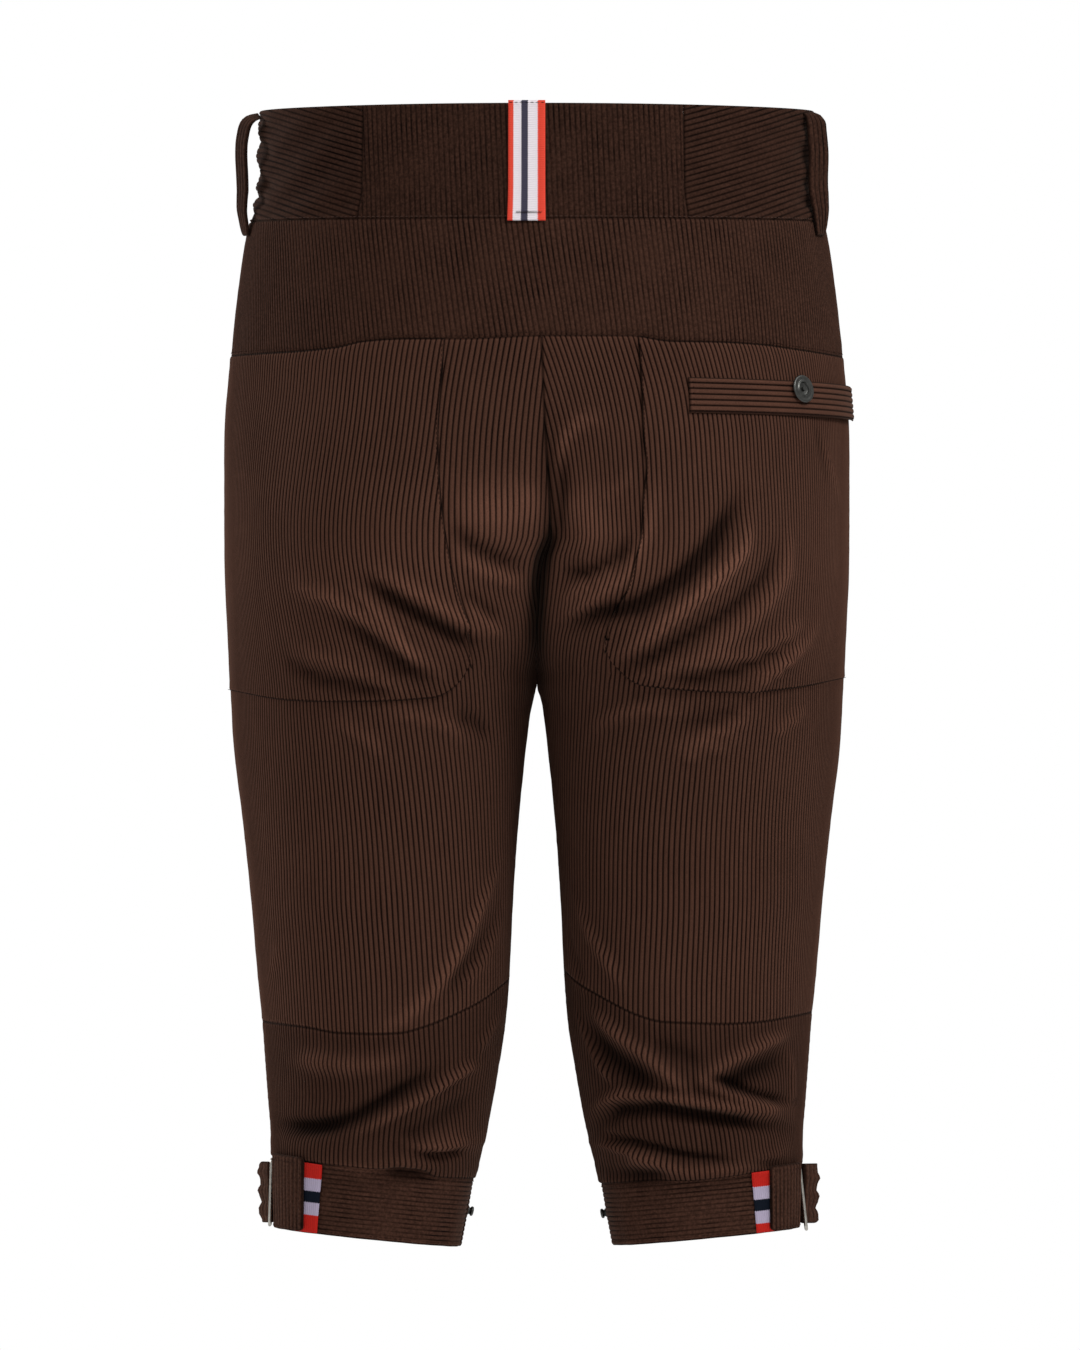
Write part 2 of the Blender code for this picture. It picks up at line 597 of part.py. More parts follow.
for side, mark in ((-1, "l"), (1, "r")):
    base = f"cuff_band_{mark}"
    share = side * np.clip(np.arange(CUFF_COLS) / CUFF_COLS, 1e-7, 1)
    share = np.broadcast_to(share, (CUFF_ROWS + 1, CUFF_COLS))
    top, foot = height_of(share, hem(side)) - GAP, height_of(share, cuff_foot(side))
    level = np.linspace(0, 1, CUFF_ROWS + 1)[:, None]
    lift = -CUFF_BAG * (1 - level)
    panel(base, share, top + (foot - top) * level, CUFF_WALL, lift, False, CORDUROY_DARK, True)

    rows, cols = np.array([[0.02], [1], [1.96]]), steps(*RIBBON_COLS)[None, :]
    laid(f"cuff_ribbon_{mark}", base, rows, cols, GAP, 1.0, RIBBON)
    laid(f"cuff_tab_{mark}", base, np.array([[-0.14], [1], [1.95]]), steps(*TAB_COLS)[None, :], 2.0, 2.6)
    cols, lift = np.array(STRAP).T[:, None, :]
    laid(f"cuff_strap_{mark}", base, np.array([[0.14], [1], [1.86]]), cols, lift, 2.3)

    top, middle, foot = on(base, [0.0, 1.0, 2.0], BUCKLE_COL)[0]
    up = (top - foot) / np.linalg.norm(top - foot)
    frame = bpy.data.curves.new(f"cuff_buckle_{mark}", "CURVE")
    frame.dimensions = "3D"
    frame.bevel_depth = BUCKLE_BAR / 2 * MM
    frame.bevel_resolution = 2
    line = frame.splines.new("POLY")
    line.points.add(4 * BUCKLE_TURN_POINTS - 1)
    line.use_cyclic_u = True
    for n, point in enumerate(line.points):
        angle = np.pi / 2 * (n // BUCKLE_TURN_POINTS + n % BUCKLE_TURN_POINTS / (BUCKLE_TURN_POINTS - 1))
        turn = np.array([np.cos(angle), np.sin(angle)]) * BUCKLE_TURN
        corner = np.sign(np.cos(angle_of(n))), np.sign(np.sin(angle_of(n)))
        ahead, high = np.array(corner) * (np.array(BUCKLE_SIZE) / 2 - BUCKLE_TURN) + turn
        place = middle + np.array([side * BUCKLE_LIFT, ahead, 0]) + up * high
        point.co = (*place * MM, 1)
    shown(f"cuff_buckle_{mark}", frame, SILVER, **METAL)

    places, way = on(base, STUD_ROW, STUD_COL)
    turned(f"cuff_stud_{mark}", STUD, places + way * 0.35, way, 14)
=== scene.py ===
"""Knee breeches in wide-wale corduroy: cloth, ribbon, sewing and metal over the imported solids."""

import bmesh
import bpy
import numpy as np
from mathutils import Matrix, Vector


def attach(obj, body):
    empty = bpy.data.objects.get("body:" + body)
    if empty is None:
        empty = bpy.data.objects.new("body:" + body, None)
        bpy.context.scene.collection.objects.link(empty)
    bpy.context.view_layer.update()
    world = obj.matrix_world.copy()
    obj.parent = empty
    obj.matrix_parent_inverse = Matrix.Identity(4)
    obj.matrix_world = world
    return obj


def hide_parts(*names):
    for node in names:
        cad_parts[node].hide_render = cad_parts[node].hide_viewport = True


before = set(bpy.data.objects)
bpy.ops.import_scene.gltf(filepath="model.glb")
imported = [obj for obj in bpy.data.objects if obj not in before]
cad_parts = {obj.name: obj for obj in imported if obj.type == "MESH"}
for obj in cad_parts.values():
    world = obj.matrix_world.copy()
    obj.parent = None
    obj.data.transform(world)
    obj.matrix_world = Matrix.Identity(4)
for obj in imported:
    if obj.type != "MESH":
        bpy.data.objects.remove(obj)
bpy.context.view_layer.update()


# Upper backs
# Two pieces of wide-wale cotton corduroy, joined down the middle of the back, and to the fronts at the
# sides and inner legs. The wales run down them and lean away from the middle seam at the top.
MM = 0.001
CLOTH = 1.1  # wall of a single piece, in mm as every length here
WALE = 3.5  # from one groove to the next
RIB = 0.75  # height of a rib over its grooves
SQUARE = 2.25  # power of the rounded sections: 2 is an ellipse
CROTCH = -373.0  # where the legs part
BAND_SEAM = -73.2  # where the waistband is sewn to the pieces below
SIDE = 0.5  # share of the way round at which the side seams stand
SIDE_X = 175.0  # their distance from the middle at the cuffs
EDGE_GAP = 0.1  # between the middle and the edges that meet there
FOLD_MARGIN = 7.0  # width beside the middle in which folds die away
LEAN_REACH, LEAN_DEPTH = 45.0, 12.0  # how far from the middle seam its lean is felt, sideways and in depth
VALLEY_WIDE = 5.0  # half width of the valley along the middle seam
SIDES = ((-1, "l"), (1, "r"))

# z, outer half width, reach of the back past the middle, reach of the front past it, back depth and
# front depth. A negative reach is the distance from the middle to the inner face of the leg.
SECTIONS = (
    (0, 183.8, 183.8, 183.8, 116, 114),
    (-52, 184.8, 184.8, 184.8, 121, 118.5),
    (-78, 191.5, 191.5, 191.5, 124.5, 121),
    (-90, 193.8, 193.8, 193.8, 127, 122),
    (-115, 197.4, 197.4, 197.4, 131, 124),
    (-166, 202.8, 202.8, 202.8, 140, 127),
    (-220, 206.6, 130, 206.6, 149, 128),
    (-262, 206.6, 78, 190, 152, 127),
    (-300, 206.4, 46, 90, 150, 124),
    (-335, 205, 22, 42, 143, 118),
    (-358, 203.9, 8, 15, 136, 112),
    (-368, 203.5, 2, 4, 132.5, 109),
    (CROTCH, 203.3, 0, 0, 131, 108),
    (-381, 202.9, -0.5, -0.5, 128, 106),
    (-391, 202.4, -3.6, -3.6, 124.5, 104),
    (-417, 201, -7, -7, 118, 100),
    (-470, 194.7, -12.5, -12.5, 107, 95),
    (-523, 189.1, -16.2, -16.2, 98, 91),
    (-576, 184.5, -18.8, -18.8, 89, 89),
    (-602, 181.8, -20.8, -20.8, 86, 87),
    (-628, 179.9, -24.8, -24.8, 83, 83),
    (-655, 177.9, -29.4, -29.4, 78, 77),
    (-681, 175.9, -34.7, -34.7, 72, 70),
    (-700, 175.5, -39.8, -39.8, 67, 65),
    (-712, 175.2, -42.5, -42.5, 64, 62),
    (-757, 173.7, -52, -52, 59, 58),
)
# z, how far the middle of the back stands to the wearer's right
MIDDLE = (
    (0, 0), (-78, 0), (-152, 3), (-215, 5.6), (-256, 8.2), (-281, 8.9), (-298, 3.6), (-320, 1), (-345, 0),
)
# Folds: side, half width and height out of the cloth, then |x| and z of points along it. A negative
# height is a trough.
BACK_FOLDS = (
    (-1, 3.2, 3.5, 125, -312, 112, -324, 95, -341, 87, -354, 78, -368),
    (1, 3.2, 3.5, 75, -350, 84, -338, 99, -327, 118, -308, 132, -296),
    (1, 3, 3, 138, -385, 146, -379, 160, -366, 174, -356),
    (1, 3, 2.5, 95, -428, 101, -426, 118, -421, 135, -415),
    (1, 4, 4, 14, -326, 27, -317, 42, -308, 58, -298),
    (-1, 5.5, 5, 159, -314, 133, -323, 110, -338, 87, -356, 64, -370),
    (-1, 6, -5.5, 115, -309, 97, -321, 77, -334, 54, -347, 39, -356),
    (-1, 5, 4.5, 110, -304, 90, -314, 70, -325, 51, -337, 29, -348),
    (-1, 5, -4, 59, -275, 46, -288, 27, -298, 10, -304),
    (-1, 5, 3, 55, -293, 39, -304, 22, -310, 11, -313),
    (-1, 4, -2.5, 50, -318, 38, -328, 24, -337),
    (-1, 4, 3, 47, -326, 34, -339, 22, -347),
    (-1, 5, 3.5, 156, -356, 130, -364, 103, -376, 87, -384),
    (-1, 5, -3.5, 166, -363, 143, -375, 116, -381, 93, -383),
    (-1, 6, -4.5, 130, -333, 107, -350, 87, -366, 70, -378),
    (-1, 16, 4, 59, -259, 35, -267, 18, -262, 9, -246),
    (-1, 5, 3, 103, -396, 77, -401, 58, -407, 49, -418),
    (-1, 5, -3, 54, -399, 39, -405, 31, -414),
    (-1, 5, 2.5, 133, -403, 111, -416, 100, -428),
    (-1, 5, 4.5, 23, -495, 32, -515, 43, -538, 55, -561, 68, -581, 89, -601, 109, -610),
    (-1, 6, -3.5, 22, -519, 32, -544, 46, -567, 59, -583),
    (-1, 4, 2, 25, -543, 36, -564, 52, -579),
    (-1, 4, 4, 21, -592, 30, -607, 39, -622),
    (-1, 4, -3, 19, -599, 25, -615, 29, -625),
    (-1, 7, 5.5, 160, -626, 143, -629, 123, -631, 103, -630, 83, -625),
    (-1, 5, -6, 176, -671, 163, -672, 147, -672, 132, -669, 119, -665, 103, -656, 90, -648, 77, -641, 67, -636),
    (-1, 3.6, 6, 24, -624, 46, -633, 58, -640, 74, -651, 90, -660, 106, -669, 120, -676),
    (-1, 7, -3, 36, -648, 58, -662, 80, -676, 100, -685),
    (-1, 3, -5, 84, -687, 68, -690, 54, -688, 32, -686),
    (-1, 3.6, 3.5, 94, -679, 77, -684, 64, -685, 46, -682),
    (-1, 8, 4, 83, -684, 60, -682, 37, -681, 24, -679),
    (-1, 5, -3.5, 173, -669, 149, -673, 126, -671),
    (-1, 4, 3.5, 146, -694, 116, -698, 90, -694, 67, -701),
    (-1, 4, -4, 100, -701, 82, -702, 70, -705),
    (-1, 6, 2, 180, -579, 174, -562, 169, -549),
    (1, 4.5, 5, 41, -205, 23, -209, 13, -218, 7, -230, 4, -244),
    (1, 5, -5, 11, -230, 8, -250, 6, -270, 5, -285),
    (1, 6, -5, 13, -306, 34, -307, 53, -298, 63, -285),
    (1, 5, 4.5, 13, -336, 28, -329, 45, -317, 58, -310, 64, -294, 72, -279, 78, -249),
    (1, 6.5, -7.5, 17, -341, 38, -334, 68, -328, 95, -310, 112, -292, 122, -275, 133, -257),
    (1, 5, 6.5, 50, -362, 75, -346, 96, -330, 120, -310, 134, -293, 140, -273),
    (1, 5, -4.5, 54, -368, 76, -362, 103, -346, 129, -329, 149, -309, 156, -290),
    (1, 6, 3.5, 101, -362, 122, -352, 148, -329, 162, -308, 166, -280),
    (1, 5, 4, 68, -376, 89, -367, 116, -362, 142, -359, 164, -346, 176, -337),
    (1, 5, -4, 89, -376, 108, -375, 128, -371, 148, -362, 166, -351),
    (1, 5, 3.5, 138, -376, 159, -366, 176, -352, 187, -338),
    (1, 16, 3.5, 16, -252, 28, -272, 39, -290),
    (1, 4, 2.5, 188, -219, 195, -239, 200, -262),
    (1, 4, -2, 182, -209, 187, -229, 191, -246),
    (1, 5, 3, 188, -130, 196, -143, 202, -156),
    (1, 4, 2, 38, -260, 53, -250, 62, -240),
    (1, 5, 3, 35, -407, 55, -399, 75, -395, 101, -397),
    (1, 5, -2.5, 95, -407, 115, -403, 134, -397),
    (1, 5, 3.5, 87, -424, 108, -416, 128, -407, 142, -399),
    (1, 4, 2.5, 153, -413, 167, -404, 178, -396),
    (1, 5, 3.5, 25, -521, 35, -544, 47, -562, 58, -580),
    (1, 4, -3, 20, -539, 24, -557, 32, -574),
    (1, 4, 2.5, 19, -560, 26, -576, 37, -585),
    (1, 4.6, 6, 35, -593, 52, -609, 72, -624, 89, -639, 100, -648),
    (1, 7, -6, 31, -602, 43, -620, 62, -635, 80, -646),
    (1, 3, 4, 25, -593, 33, -614, 41, -630, 50, -642),
    (1, 4.6, 6, 169, -609, 151, -616, 131, -626, 116, -634, 105, -642),
    (1, 6, -3, 75, -616, 95, -623, 108, -630),
    (1, 7, -5, 122, -646, 141, -636, 164, -626),
    (1, 4, 3, 165, -620, 169, -636, 169, -651, 165, -659),
    (1, 3.8, 6.5, 34, -666, 43, -655, 56, -650, 76, -650, 100, -654, 125, -658, 150, -662, 172, -668),
    (1, 4.5, -7, 37, -675, 55, -661, 82, -659, 108, -664, 134, -668, 166, -675),
    (1, 3, -5, 116, -637, 128, -643, 140, -649, 157, -654, 174, -657),
    (1, 3.6, 4.5, 104, -638, 118, -646, 134, -652, 154, -658, 174, -662),
    (1, 3, -5, 33, -678, 50, -680, 64, -682, 80, -686, 95, -690, 118, -693, 136, -696),
    (1, 3, 5, 33, -682, 46, -683, 60, -687, 78, -693, 97, -699),
    (1, 5, 4.5, 35, -687, 68, -694, 101, -701, 134, -698, 167, -686),
    (1, 6, -5, 42, -700, 68, -704, 88, -702),
    (1, 3, -2.5, 133, -694, 154, -696, 173, -694),
)
FRONT_FOLDS = (
    (-1, 12, 5, 12, -340, 60, -310, 120, -262),
    (-1, 10, -4, 10, -362, 64, -338, 130, -305),
    (-1, 12, 3.5, 60, -405, 110, -386, 168, -384),
    (-1, 12, 4.5, 34, -560, 78, -578, 130, -570),
    (-1, 10, 5.5, 46, -620, 98, -640, 160, -628),
    (-1, 9, 4.5, 44, -664, 104, -674, 168, -660),
    (-1, 8, -4, 60, -642, 100, -656, 150, -646),
    (1, 12, 4.5, 12, -344, 66, -318, 112, -268),
    (1, 10, -4, 12, -366, 60, -346, 126, -322),
    (1, 12, 3.5, 70, -398, 118, -396, 176, -404),
    (1, 12, 4.5, 40, -548, 92, -572, 150, -562),
    (1, 10, 5.5, 42, -636, 100, -622, 166, -632),
    (1, 8, -4, 50, -652, 102, -660, 160, -668),
    (1, 9, 4.5, 50, -676, 100, -680, 160, -686),
)
# z, depth of the valley down the middle of the back
VALLEY = (
    (-190, 0), (-215, 1.5), (-250, 2.5), (-275, 4), (-284, 9), (-294, 15), (-335, 16), (-372, 15), (-395, 10),
    (-430, 0),
)
# The wales' lean away from the middle in degrees, at each |x| of LEAN_X, a row for each z of LEAN_Z
LEAN_X = (15, 50, 90, 130, 175, 208)
LEAN_Z = (-160, *range(-173, -694, -26))
BACK_LEAN = {
    -1: (
        (12, 11, 9, 8, 3, 2), (12, 11, 9, 7, 2, 1), (12, 9, 6, 6, 8, 4), (11, 5, 3, 4, 8, 4),
        (10, 2, 2, 1, 6, 3), (10, -1, -3, -3, -1, 0), (8, -3, -8, -11, -5, -3),
        (-13, -9, -15, -12, -10, -5), (-3, -13, -14, -11, -10, -5), (-6, -4, -5, -4, -8, -4),
        (-8, -8, -8, -9, -7, -3), (-5, -6, -7, -6, -7, -3), (-2, -5, -6, -6, -3, -2),
        (-3, -3, -5, -3, -2, 0), (-3, -5, -6, 0, 0, 0), (-3, -6, -4, -4, -3, -1), (0, -4, -4, -3, -4, -2),
        (2, 0, 0, -5, -5, -3), (5, 0, -4, -6, -7, -4), (12, 8, -2, -6, -5, -3), (9, 6, 7, 10, 2, 1),
        (4, 0, -2, -4, 0, 0),
    ),
    1: (
        (18, 16, 18, 14, 9, 5), (17, 15, 17, 12, 8, 5), (16, 11, 8, 10, 5, 4), (14, 6, 3, 3, 2, 0),
        (12, 5, 1, 4, 2, 0), (12, 8, 0, 1, 0, 0), (14, 0, -3, -11, -3, 0), (2, -14, -12, -9, -3, -3),
        (-7, -10, -10, -13, -8, -5), (-5, -5, -5, -6, -6, -4), (-4, -6, -9, -10, -5, -3),
        (-3, -4, -6, -6, -7, -4), (-2, -3, -4, -4, -6, -3), (-1, -1, -2, -2, -2, 0), (0, 0, 0, -1, 0, 0),
        (-2, -3, -2, -3, -5, -2), (-2, -2, -3, -3, -5, -2), (0, -3, 0, -3, -2, 0), (2, -2, 0, 2, -4, -2),
        (4, 2, 4, 2, -2, -1), (8, 8, 9, 10, -2, 0), (7, 7, 9, 4, 1, 0),
    ),
}
# x, z of the seam under the yoke
YOKE_SEAM = (
    (-204, -162), (-161, -160.5), (-132, -158), (-113, -154), (-87, -152.5), (-49, -152.5), (3, -150.5),
    (60, -150.5), (88, -154), (122, -154.5), (149, -156), (165, -158), (204, -163),
)
# |x|, z of the seam behind the knee
KNEE_SEAM = {
    -1: (
        (18, -575), (37, -589), (52, -596.5), (73, -605), (91, -609.5), (109, -610), (130, -609.5),
        (152, -606), (182, -603),
    ),
    1: (
        (18, -569.5), (31, -579), (48, -589), (67, -598), (82, -602), (103, -603), (124, -603.5),
        (146, -602.5), (167, -599.5), (182, -597),
    ),
}


def follow(table, at):
    """A smooth curve through a table's rows with no overshoot. The first column is where each row stands."""
    rows = np.array(sorted(table), float)
    knots, values = rows[:, 0], rows[:, 1:]
    rise = np.diff(values, axis=0) / np.diff(knots)[:, None]
    slope = np.zeros_like(values)
    same = rise[:-1] * rise[1:] > 0
    total = np.where(same, rise[:-1] + rise[1:], 1)
    slope[1:-1] = np.where(same, 2 * rise[:-1] * rise[1:] / total, 0)
    slope[0], slope[-1] = rise[0], rise[-1]
    at = np.clip(np.asarray(at, float), knots[0], knots[-1])
    i = np.clip(np.searchsorted(knots, at) - 1, 0, len(knots) - 2)
    wide = (knots[i + 1] - knots[i])[..., None]
    t = (at - knots[i])[..., None] / wide
    start = (1 + 2 * t) * (1 - t) ** 2 * values[i] + t * (1 - t) ** 2 * wide * slope[i]
    end = t * t * (3 - 2 * t) * values[i + 1] - t * t * (1 - t) * wide * slope[i + 1]
    return np.moveaxis(start + end, -1, 0)


def section(z, front):
    """Centre, half width and depth of the section here, and the angle at which it meets the middle."""
    outer, reach_back, reach_front, back, deep = follow(SECTIONS, z)
    reach = np.minimum(np.where(front, reach_front, reach_back), outer)
    centre, half = (outer - reach) / 2, (outer + reach) / 2
    start = np.arccos(np.minimum(centre / half, 1) ** (SQUARE / 2))
    return centre, half, np.where(front, deep, back), start


def outside(x, y, z, front):
    """How far a place is outside the section at its height: 0 on the skin."""
    centre, half, deep, _ = section(z, front)
    return np.abs((x - centre) / half) ** SQUARE + np.abs(y / deep) ** SQUARE - 1


def bare(share, z):
    """Places on the skin with no folds, for |x|, and the way out from each. share is 0 to 1."""
    front = share > SIDE
    centre, half, deep, start = section(z, front)
    part = np.where(front, 2 - 2 * share, 2 * share)
    angle = start + (np.pi - start) * part
    c, s = np.cos(angle), np.sin(angle)
    x = centre - half * np.sign(c) * np.abs(c) ** (2 / SQUARE)
    y = deep * np.abs(s) ** (2 / SQUARE) * np.where(front, 1, -1)
    toward_x = np.sign(x - centre) * np.abs((x - centre) / half) ** (SQUARE - 1) / half
    toward_y = np.sign(y) * np.abs(y / deep) ** (SQUARE - 1) / deep
    toward_z = (outside(x, y, z + 0.5, front) - outside(x, y, z - 0.5, front)) / SQUARE
    way = np.stack([toward_x, toward_y, toward_z], -1)
    return np.stack([x, y, z], -1), way / np.linalg.norm(way, axis=-1, keepdims=True)


def share_at(x, z, front=False):
    """The share of the way round at which the skin stands |x| from the middle at this height."""
    centre, half, _, start = section(z, front)
    c = np.clip((centre - x) / half, -1, 1)
    part = (np.arccos(np.sign(c) * np.abs(c) ** (SQUARE / 2)) - start) / (np.pi - start)
    part = np.clip(part, 0, 1) / 2
    return 1 - part if front else part


def folded(places, way, lines):
    """How far the folds move each of these places out. They die away where the cloth turns to the side."""
    out = np.zeros(places.shape[:-1])
    for side, line, width, height in lines:
        inside = (places > line.min(axis=0) - 3 * width) & (places < line.max(axis=0) + 3 * width)
        near = inside.all(axis=-1) & (places[..., 0] * side > 0)
        here = places[near]
        best, along = np.full(len(here), 1e9), np.zeros(len(here))
        for n, run in enumerate(np.diff(line, axis=0)):
            t = np.clip(((here - line[n]) @ run) / (run @ run), 0, 1)
            far = np.linalg.norm(here - line[n] - t[:, None] * run, axis=-1)
            along = np.where(far < best, (n + t) / (len(line) - 1), along)
            best = np.minimum(best, far)
        ends = np.sin(np.pi / 2 * np.clip(3.2 * np.minimum(along, 1 - along), 0, 1))
        out[near] += height * (0.15 + 0.85 * ends) * np.exp(-((best / width) ** 2))
    turned_away = np.clip((np.abs(way[..., 0]) - 0.7) / 0.3, 0, 1)
    return out * (1 - np.exp(-((places[..., 0] / FOLD_MARGIN) ** 2))) * (1 - 0.8 * turned_away)


FOLDS = []
for front, table in ((False, BACK_FOLDS), (True, FRONT_FOLDS)):
    for side, width, height, *points in table:
        x, z = np.array(points[0::2], float), np.array(points[1::2], float)
        line, _ = bare(share_at(x, z, front), z)
        line[:, 0] *= side
        FOLDS.append((side, line, width, height))

# The way round at each height, measured along the cloth from the middle of the back
LEVEL_STEP = 1.0
LEVELS = -LEVEL_STEP * np.arange(761)
SHARES = np.linspace(0, 1, 401)
round_it, _ = bare(SHARES[None, :], np.broadcast_to(LEVELS[:, None], (LEVELS.size, SHARES.size)))
pieces_of_it = np.linalg.norm(np.diff(round_it, axis=1), axis=-1)
ARC = np.concatenate([np.zeros((LEVELS.size, 1)), np.cumsum(pieces_of_it, axis=1)], axis=1)
SHARE_BY_ARC = np.array([np.interp(SHARES * row[-1], row, SHARES) for row in ARC])


def blended(table, row, col):
    """A value from between a table's rows and columns."""
    row = np.clip(row, 0, table.shape[0] - 1.001)
    r, c = row.astype(int), np.minimum(col.astype(int), table.shape[1] - 2)
    t, u = row - r, col - c
    upper = table[r, c] * (1 - u) + table[r, c + 1] * u
    lower = table[r + 1, c] * (1 - u) + table[r + 1, c + 1] * u
    return upper * (1 - t) + lower * t


def looked_up(table, z, part):
    """A value from a table of rows by height and columns by share of the way."""
    return blended(table, -np.asarray(z, float) / LEVEL_STEP, np.clip(part, 0, 1) * (SHARES.size - 1))


def arc_at(share, z):
    return np.sign(share) * looked_up(ARC, z, np.abs(share))


def share_of(arc, z):
    whole = looked_up(ARC, z, np.ones(np.shape(z)))
    return np.where(arc < 0, -1, 1) * looked_up(SHARE_BY_ARC, z, np.abs(arc) / whole)


def edge_at(share):
    """An upright edge at one share of the way round, as how far round it stands at a height."""
    return lambda z: arc_at(np.full(np.shape(z), share), z)


def seam_at(side, z):
    """How far round the side seam stands, or 0 for a piece that runs over the middle."""
    return edge_at(side * SIDE)(z)


def ends_of(*edges):
    """How far round a piece's two upright edges stand at a height, the wearer's left one first."""

    def ends(z):
        at = [edge(z) for edge in edges]
        return np.minimum(*at), np.maximum(*at)

    return ends


def across(arc, z):
    """x at this distance round from the middle of the back. The wearer's left is negative."""
    share = share_of(arc, z)
    return np.where(arc < 0, -1, 1) * bare(np.abs(share), np.asarray(z, float) + 0 * share)[0][..., 0]


def wrapped(share):
    """A share past the middle of the front is one on the other side."""
    return np.where(np.abs(share) > 1, (share + 1) % 2 - 1, share)


def skin(share, z):
    """Places on the folded skin and the way out from each. A negative share is the wearer's left."""
    share, z = np.broadcast_arrays(wrapped(np.asarray(share, float)), np.asarray(z, float))
    places, way = bare(np.abs(share), z)
    side = np.where(share < 0, -1.0, 1.0)
    places[..., 0] *= side
    way[..., 0] *= side
    places = places + way * folded(places, way, FOLDS)[..., None]
    behind = 1 / (1 + np.exp(places[..., 1] / LEAN_DEPTH))
    places[..., 1] += follow(VALLEY, z)[0] * np.exp(-((places[..., 0] / VALLEY_WIDE) ** 2)) * behind
    return places, way


def relief(share, z, places, way):
    """How far a fold moves each place out."""
    share = wrapped(share)
    plain, _ = bare(np.abs(share), z)
    plain[..., 0] *= np.where(share < 0, -1.0, 1.0)
    return ((places - plain) * way).sum(axis=-1)


def leaned(places):
    """Moves the middle of the back over to where its seam runs."""
    near = np.exp(-((places[..., 0] / LEAN_REACH) ** 2)) / (1 + np.exp(places[..., 1] / LEAN_DEPTH))
    moved = places.copy()
    moved[..., 0] += follow(MIDDLE, places[..., 2])[0] * near
    return moved


CLOSER, CLOSER_FROM = 0.26, 85.0  # how much closer the wales run by the side seam, and from what |x|
NARROWEST = 0.45  # least x for a mm round, so that a wale doesn't run off where the skin turns away
EVENING = 0.15  # share of a wale's difference in width that is taken out at each step down
SPARE = 0.35  # wales beyond the edges, as a share of the piece's height


def wales(ends, heights, lean, side):
    """How far round each groove runs at each height, from the lean of the wales at each place."""
    left = min(ends(z)[0] for z in (heights[0], heights[-1]))
    right = max(ends(z)[1] for z in (heights[0], heights[-1]))
    spare = SPARE * np.abs(heights[-1] - heights[0]) + 20
    middle = np.array((left + right) / 2)
    slope = abs(np.tan(np.radians(float(lean(across(middle, heights[0]), heights[0])))))
    pitch = WALE * np.hypot(1, slope)

    def spaced(at, z):
        """How far apart they run, closer where they near the side seam."""
        x = np.abs(across(np.clip(at, left + 1, right - 1), z))
        return pitch * (1 - CLOSER * np.clip((x - CLOSER_FROM) / (SIDE_X - CLOSER_FROM), 0, 1))

    spare += slope * np.abs(heights[-1] - heights[0])
    first, last = np.floor((left - spare) / pitch), np.ceil((right + spare) / pitch)
    at = np.arange(first, last + 1) * pitch
    for _ in range(8):
        gaps = spaced((at[1:] + at[:-1]) / 2, np.full(at.size - 1, heights[0]))
        evened = np.concatenate([[0], np.cumsum(gaps)])
        at = evened + np.interp((left + right) / 2, at, at - evened)
    found = [at]
    for z, below in zip(heights[:-1], heights[1:]):
        low, high = ends(z)
        here = np.clip(at, low + 1, high - 1)
        level = np.full(at.shape, z)
        x = across(here, level)
        widens = (across(here + 1, level) - across(here - 1, level)) / 2
        widens = np.where(widens < 0, -1, 1) * np.maximum(np.abs(widens), NARROWEST)
        shift = seam_at(side, below) - seam_at(side, z)
        next_low, next_high = ends(below)
        falls = across(np.clip(here + shift, next_low + 1, next_high - 1), level + below - z) - x
        at = at + shift + ((z - below) * np.tan(np.radians(lean(x, level))) - falls) / widens
        steps = np.diff(at)
        steps += EVENING * (spaced((at[1:] + at[:-1]) / 2, level[1:]) - steps)
        evened = np.concatenate([[0], np.cumsum(steps)])
        centre = (low + high) / 2
        at = evened + np.interp(centre, at, at - evened)
        found.append(at)
    return np.array(found)


ROLLED = 0.9  # how far in from an edge the cloth rounds over
NEAR = np.array([0, ROLLED / 3, ROLLED])
CREST = np.array([0, 0.16, 0.5, 0.84])  # where a wale's places stand across it, from groove to groove
INSET = 1.6  # of the outermost of them from an edge
PUCKER = 0.2  # height of the ripples beside a seam


def rows_along(long, step, first):
    """Where rows of places stand over a length, one step from each other and closer by both ends."""
    even = np.linspace(first, long - first, max(int(long / step), 2))
    return np.concatenate([NEAR, even, long - NEAR[::-1]])


def ribbed(column, nearest, rib):
    """How far the ribs stand out, less so beside an edge."""
    ridge = 1 - np.abs(2 * (column % 1) - 1) ** 3
    return (ridge - 0.35) * rib * np.clip(nearest / 1.4, 0, 1)


def shell(places, way, height, raised, nearest, thick):
    """A piece's outer and inner face over the skin, rounded over to each other at its edges."""
    roll = 1 - np.sqrt(np.clip(1 - (1 - np.clip(nearest / ROLLED, 0, 1)) ** 2, 0, 1))
    outer = raised * (1 - roll) - thick / 2 * roll
    inner = np.where(nearest < 1e-6, outer, -thick)
    return [places + way * (height + layer)[..., None] for layer in (outer, inner)]


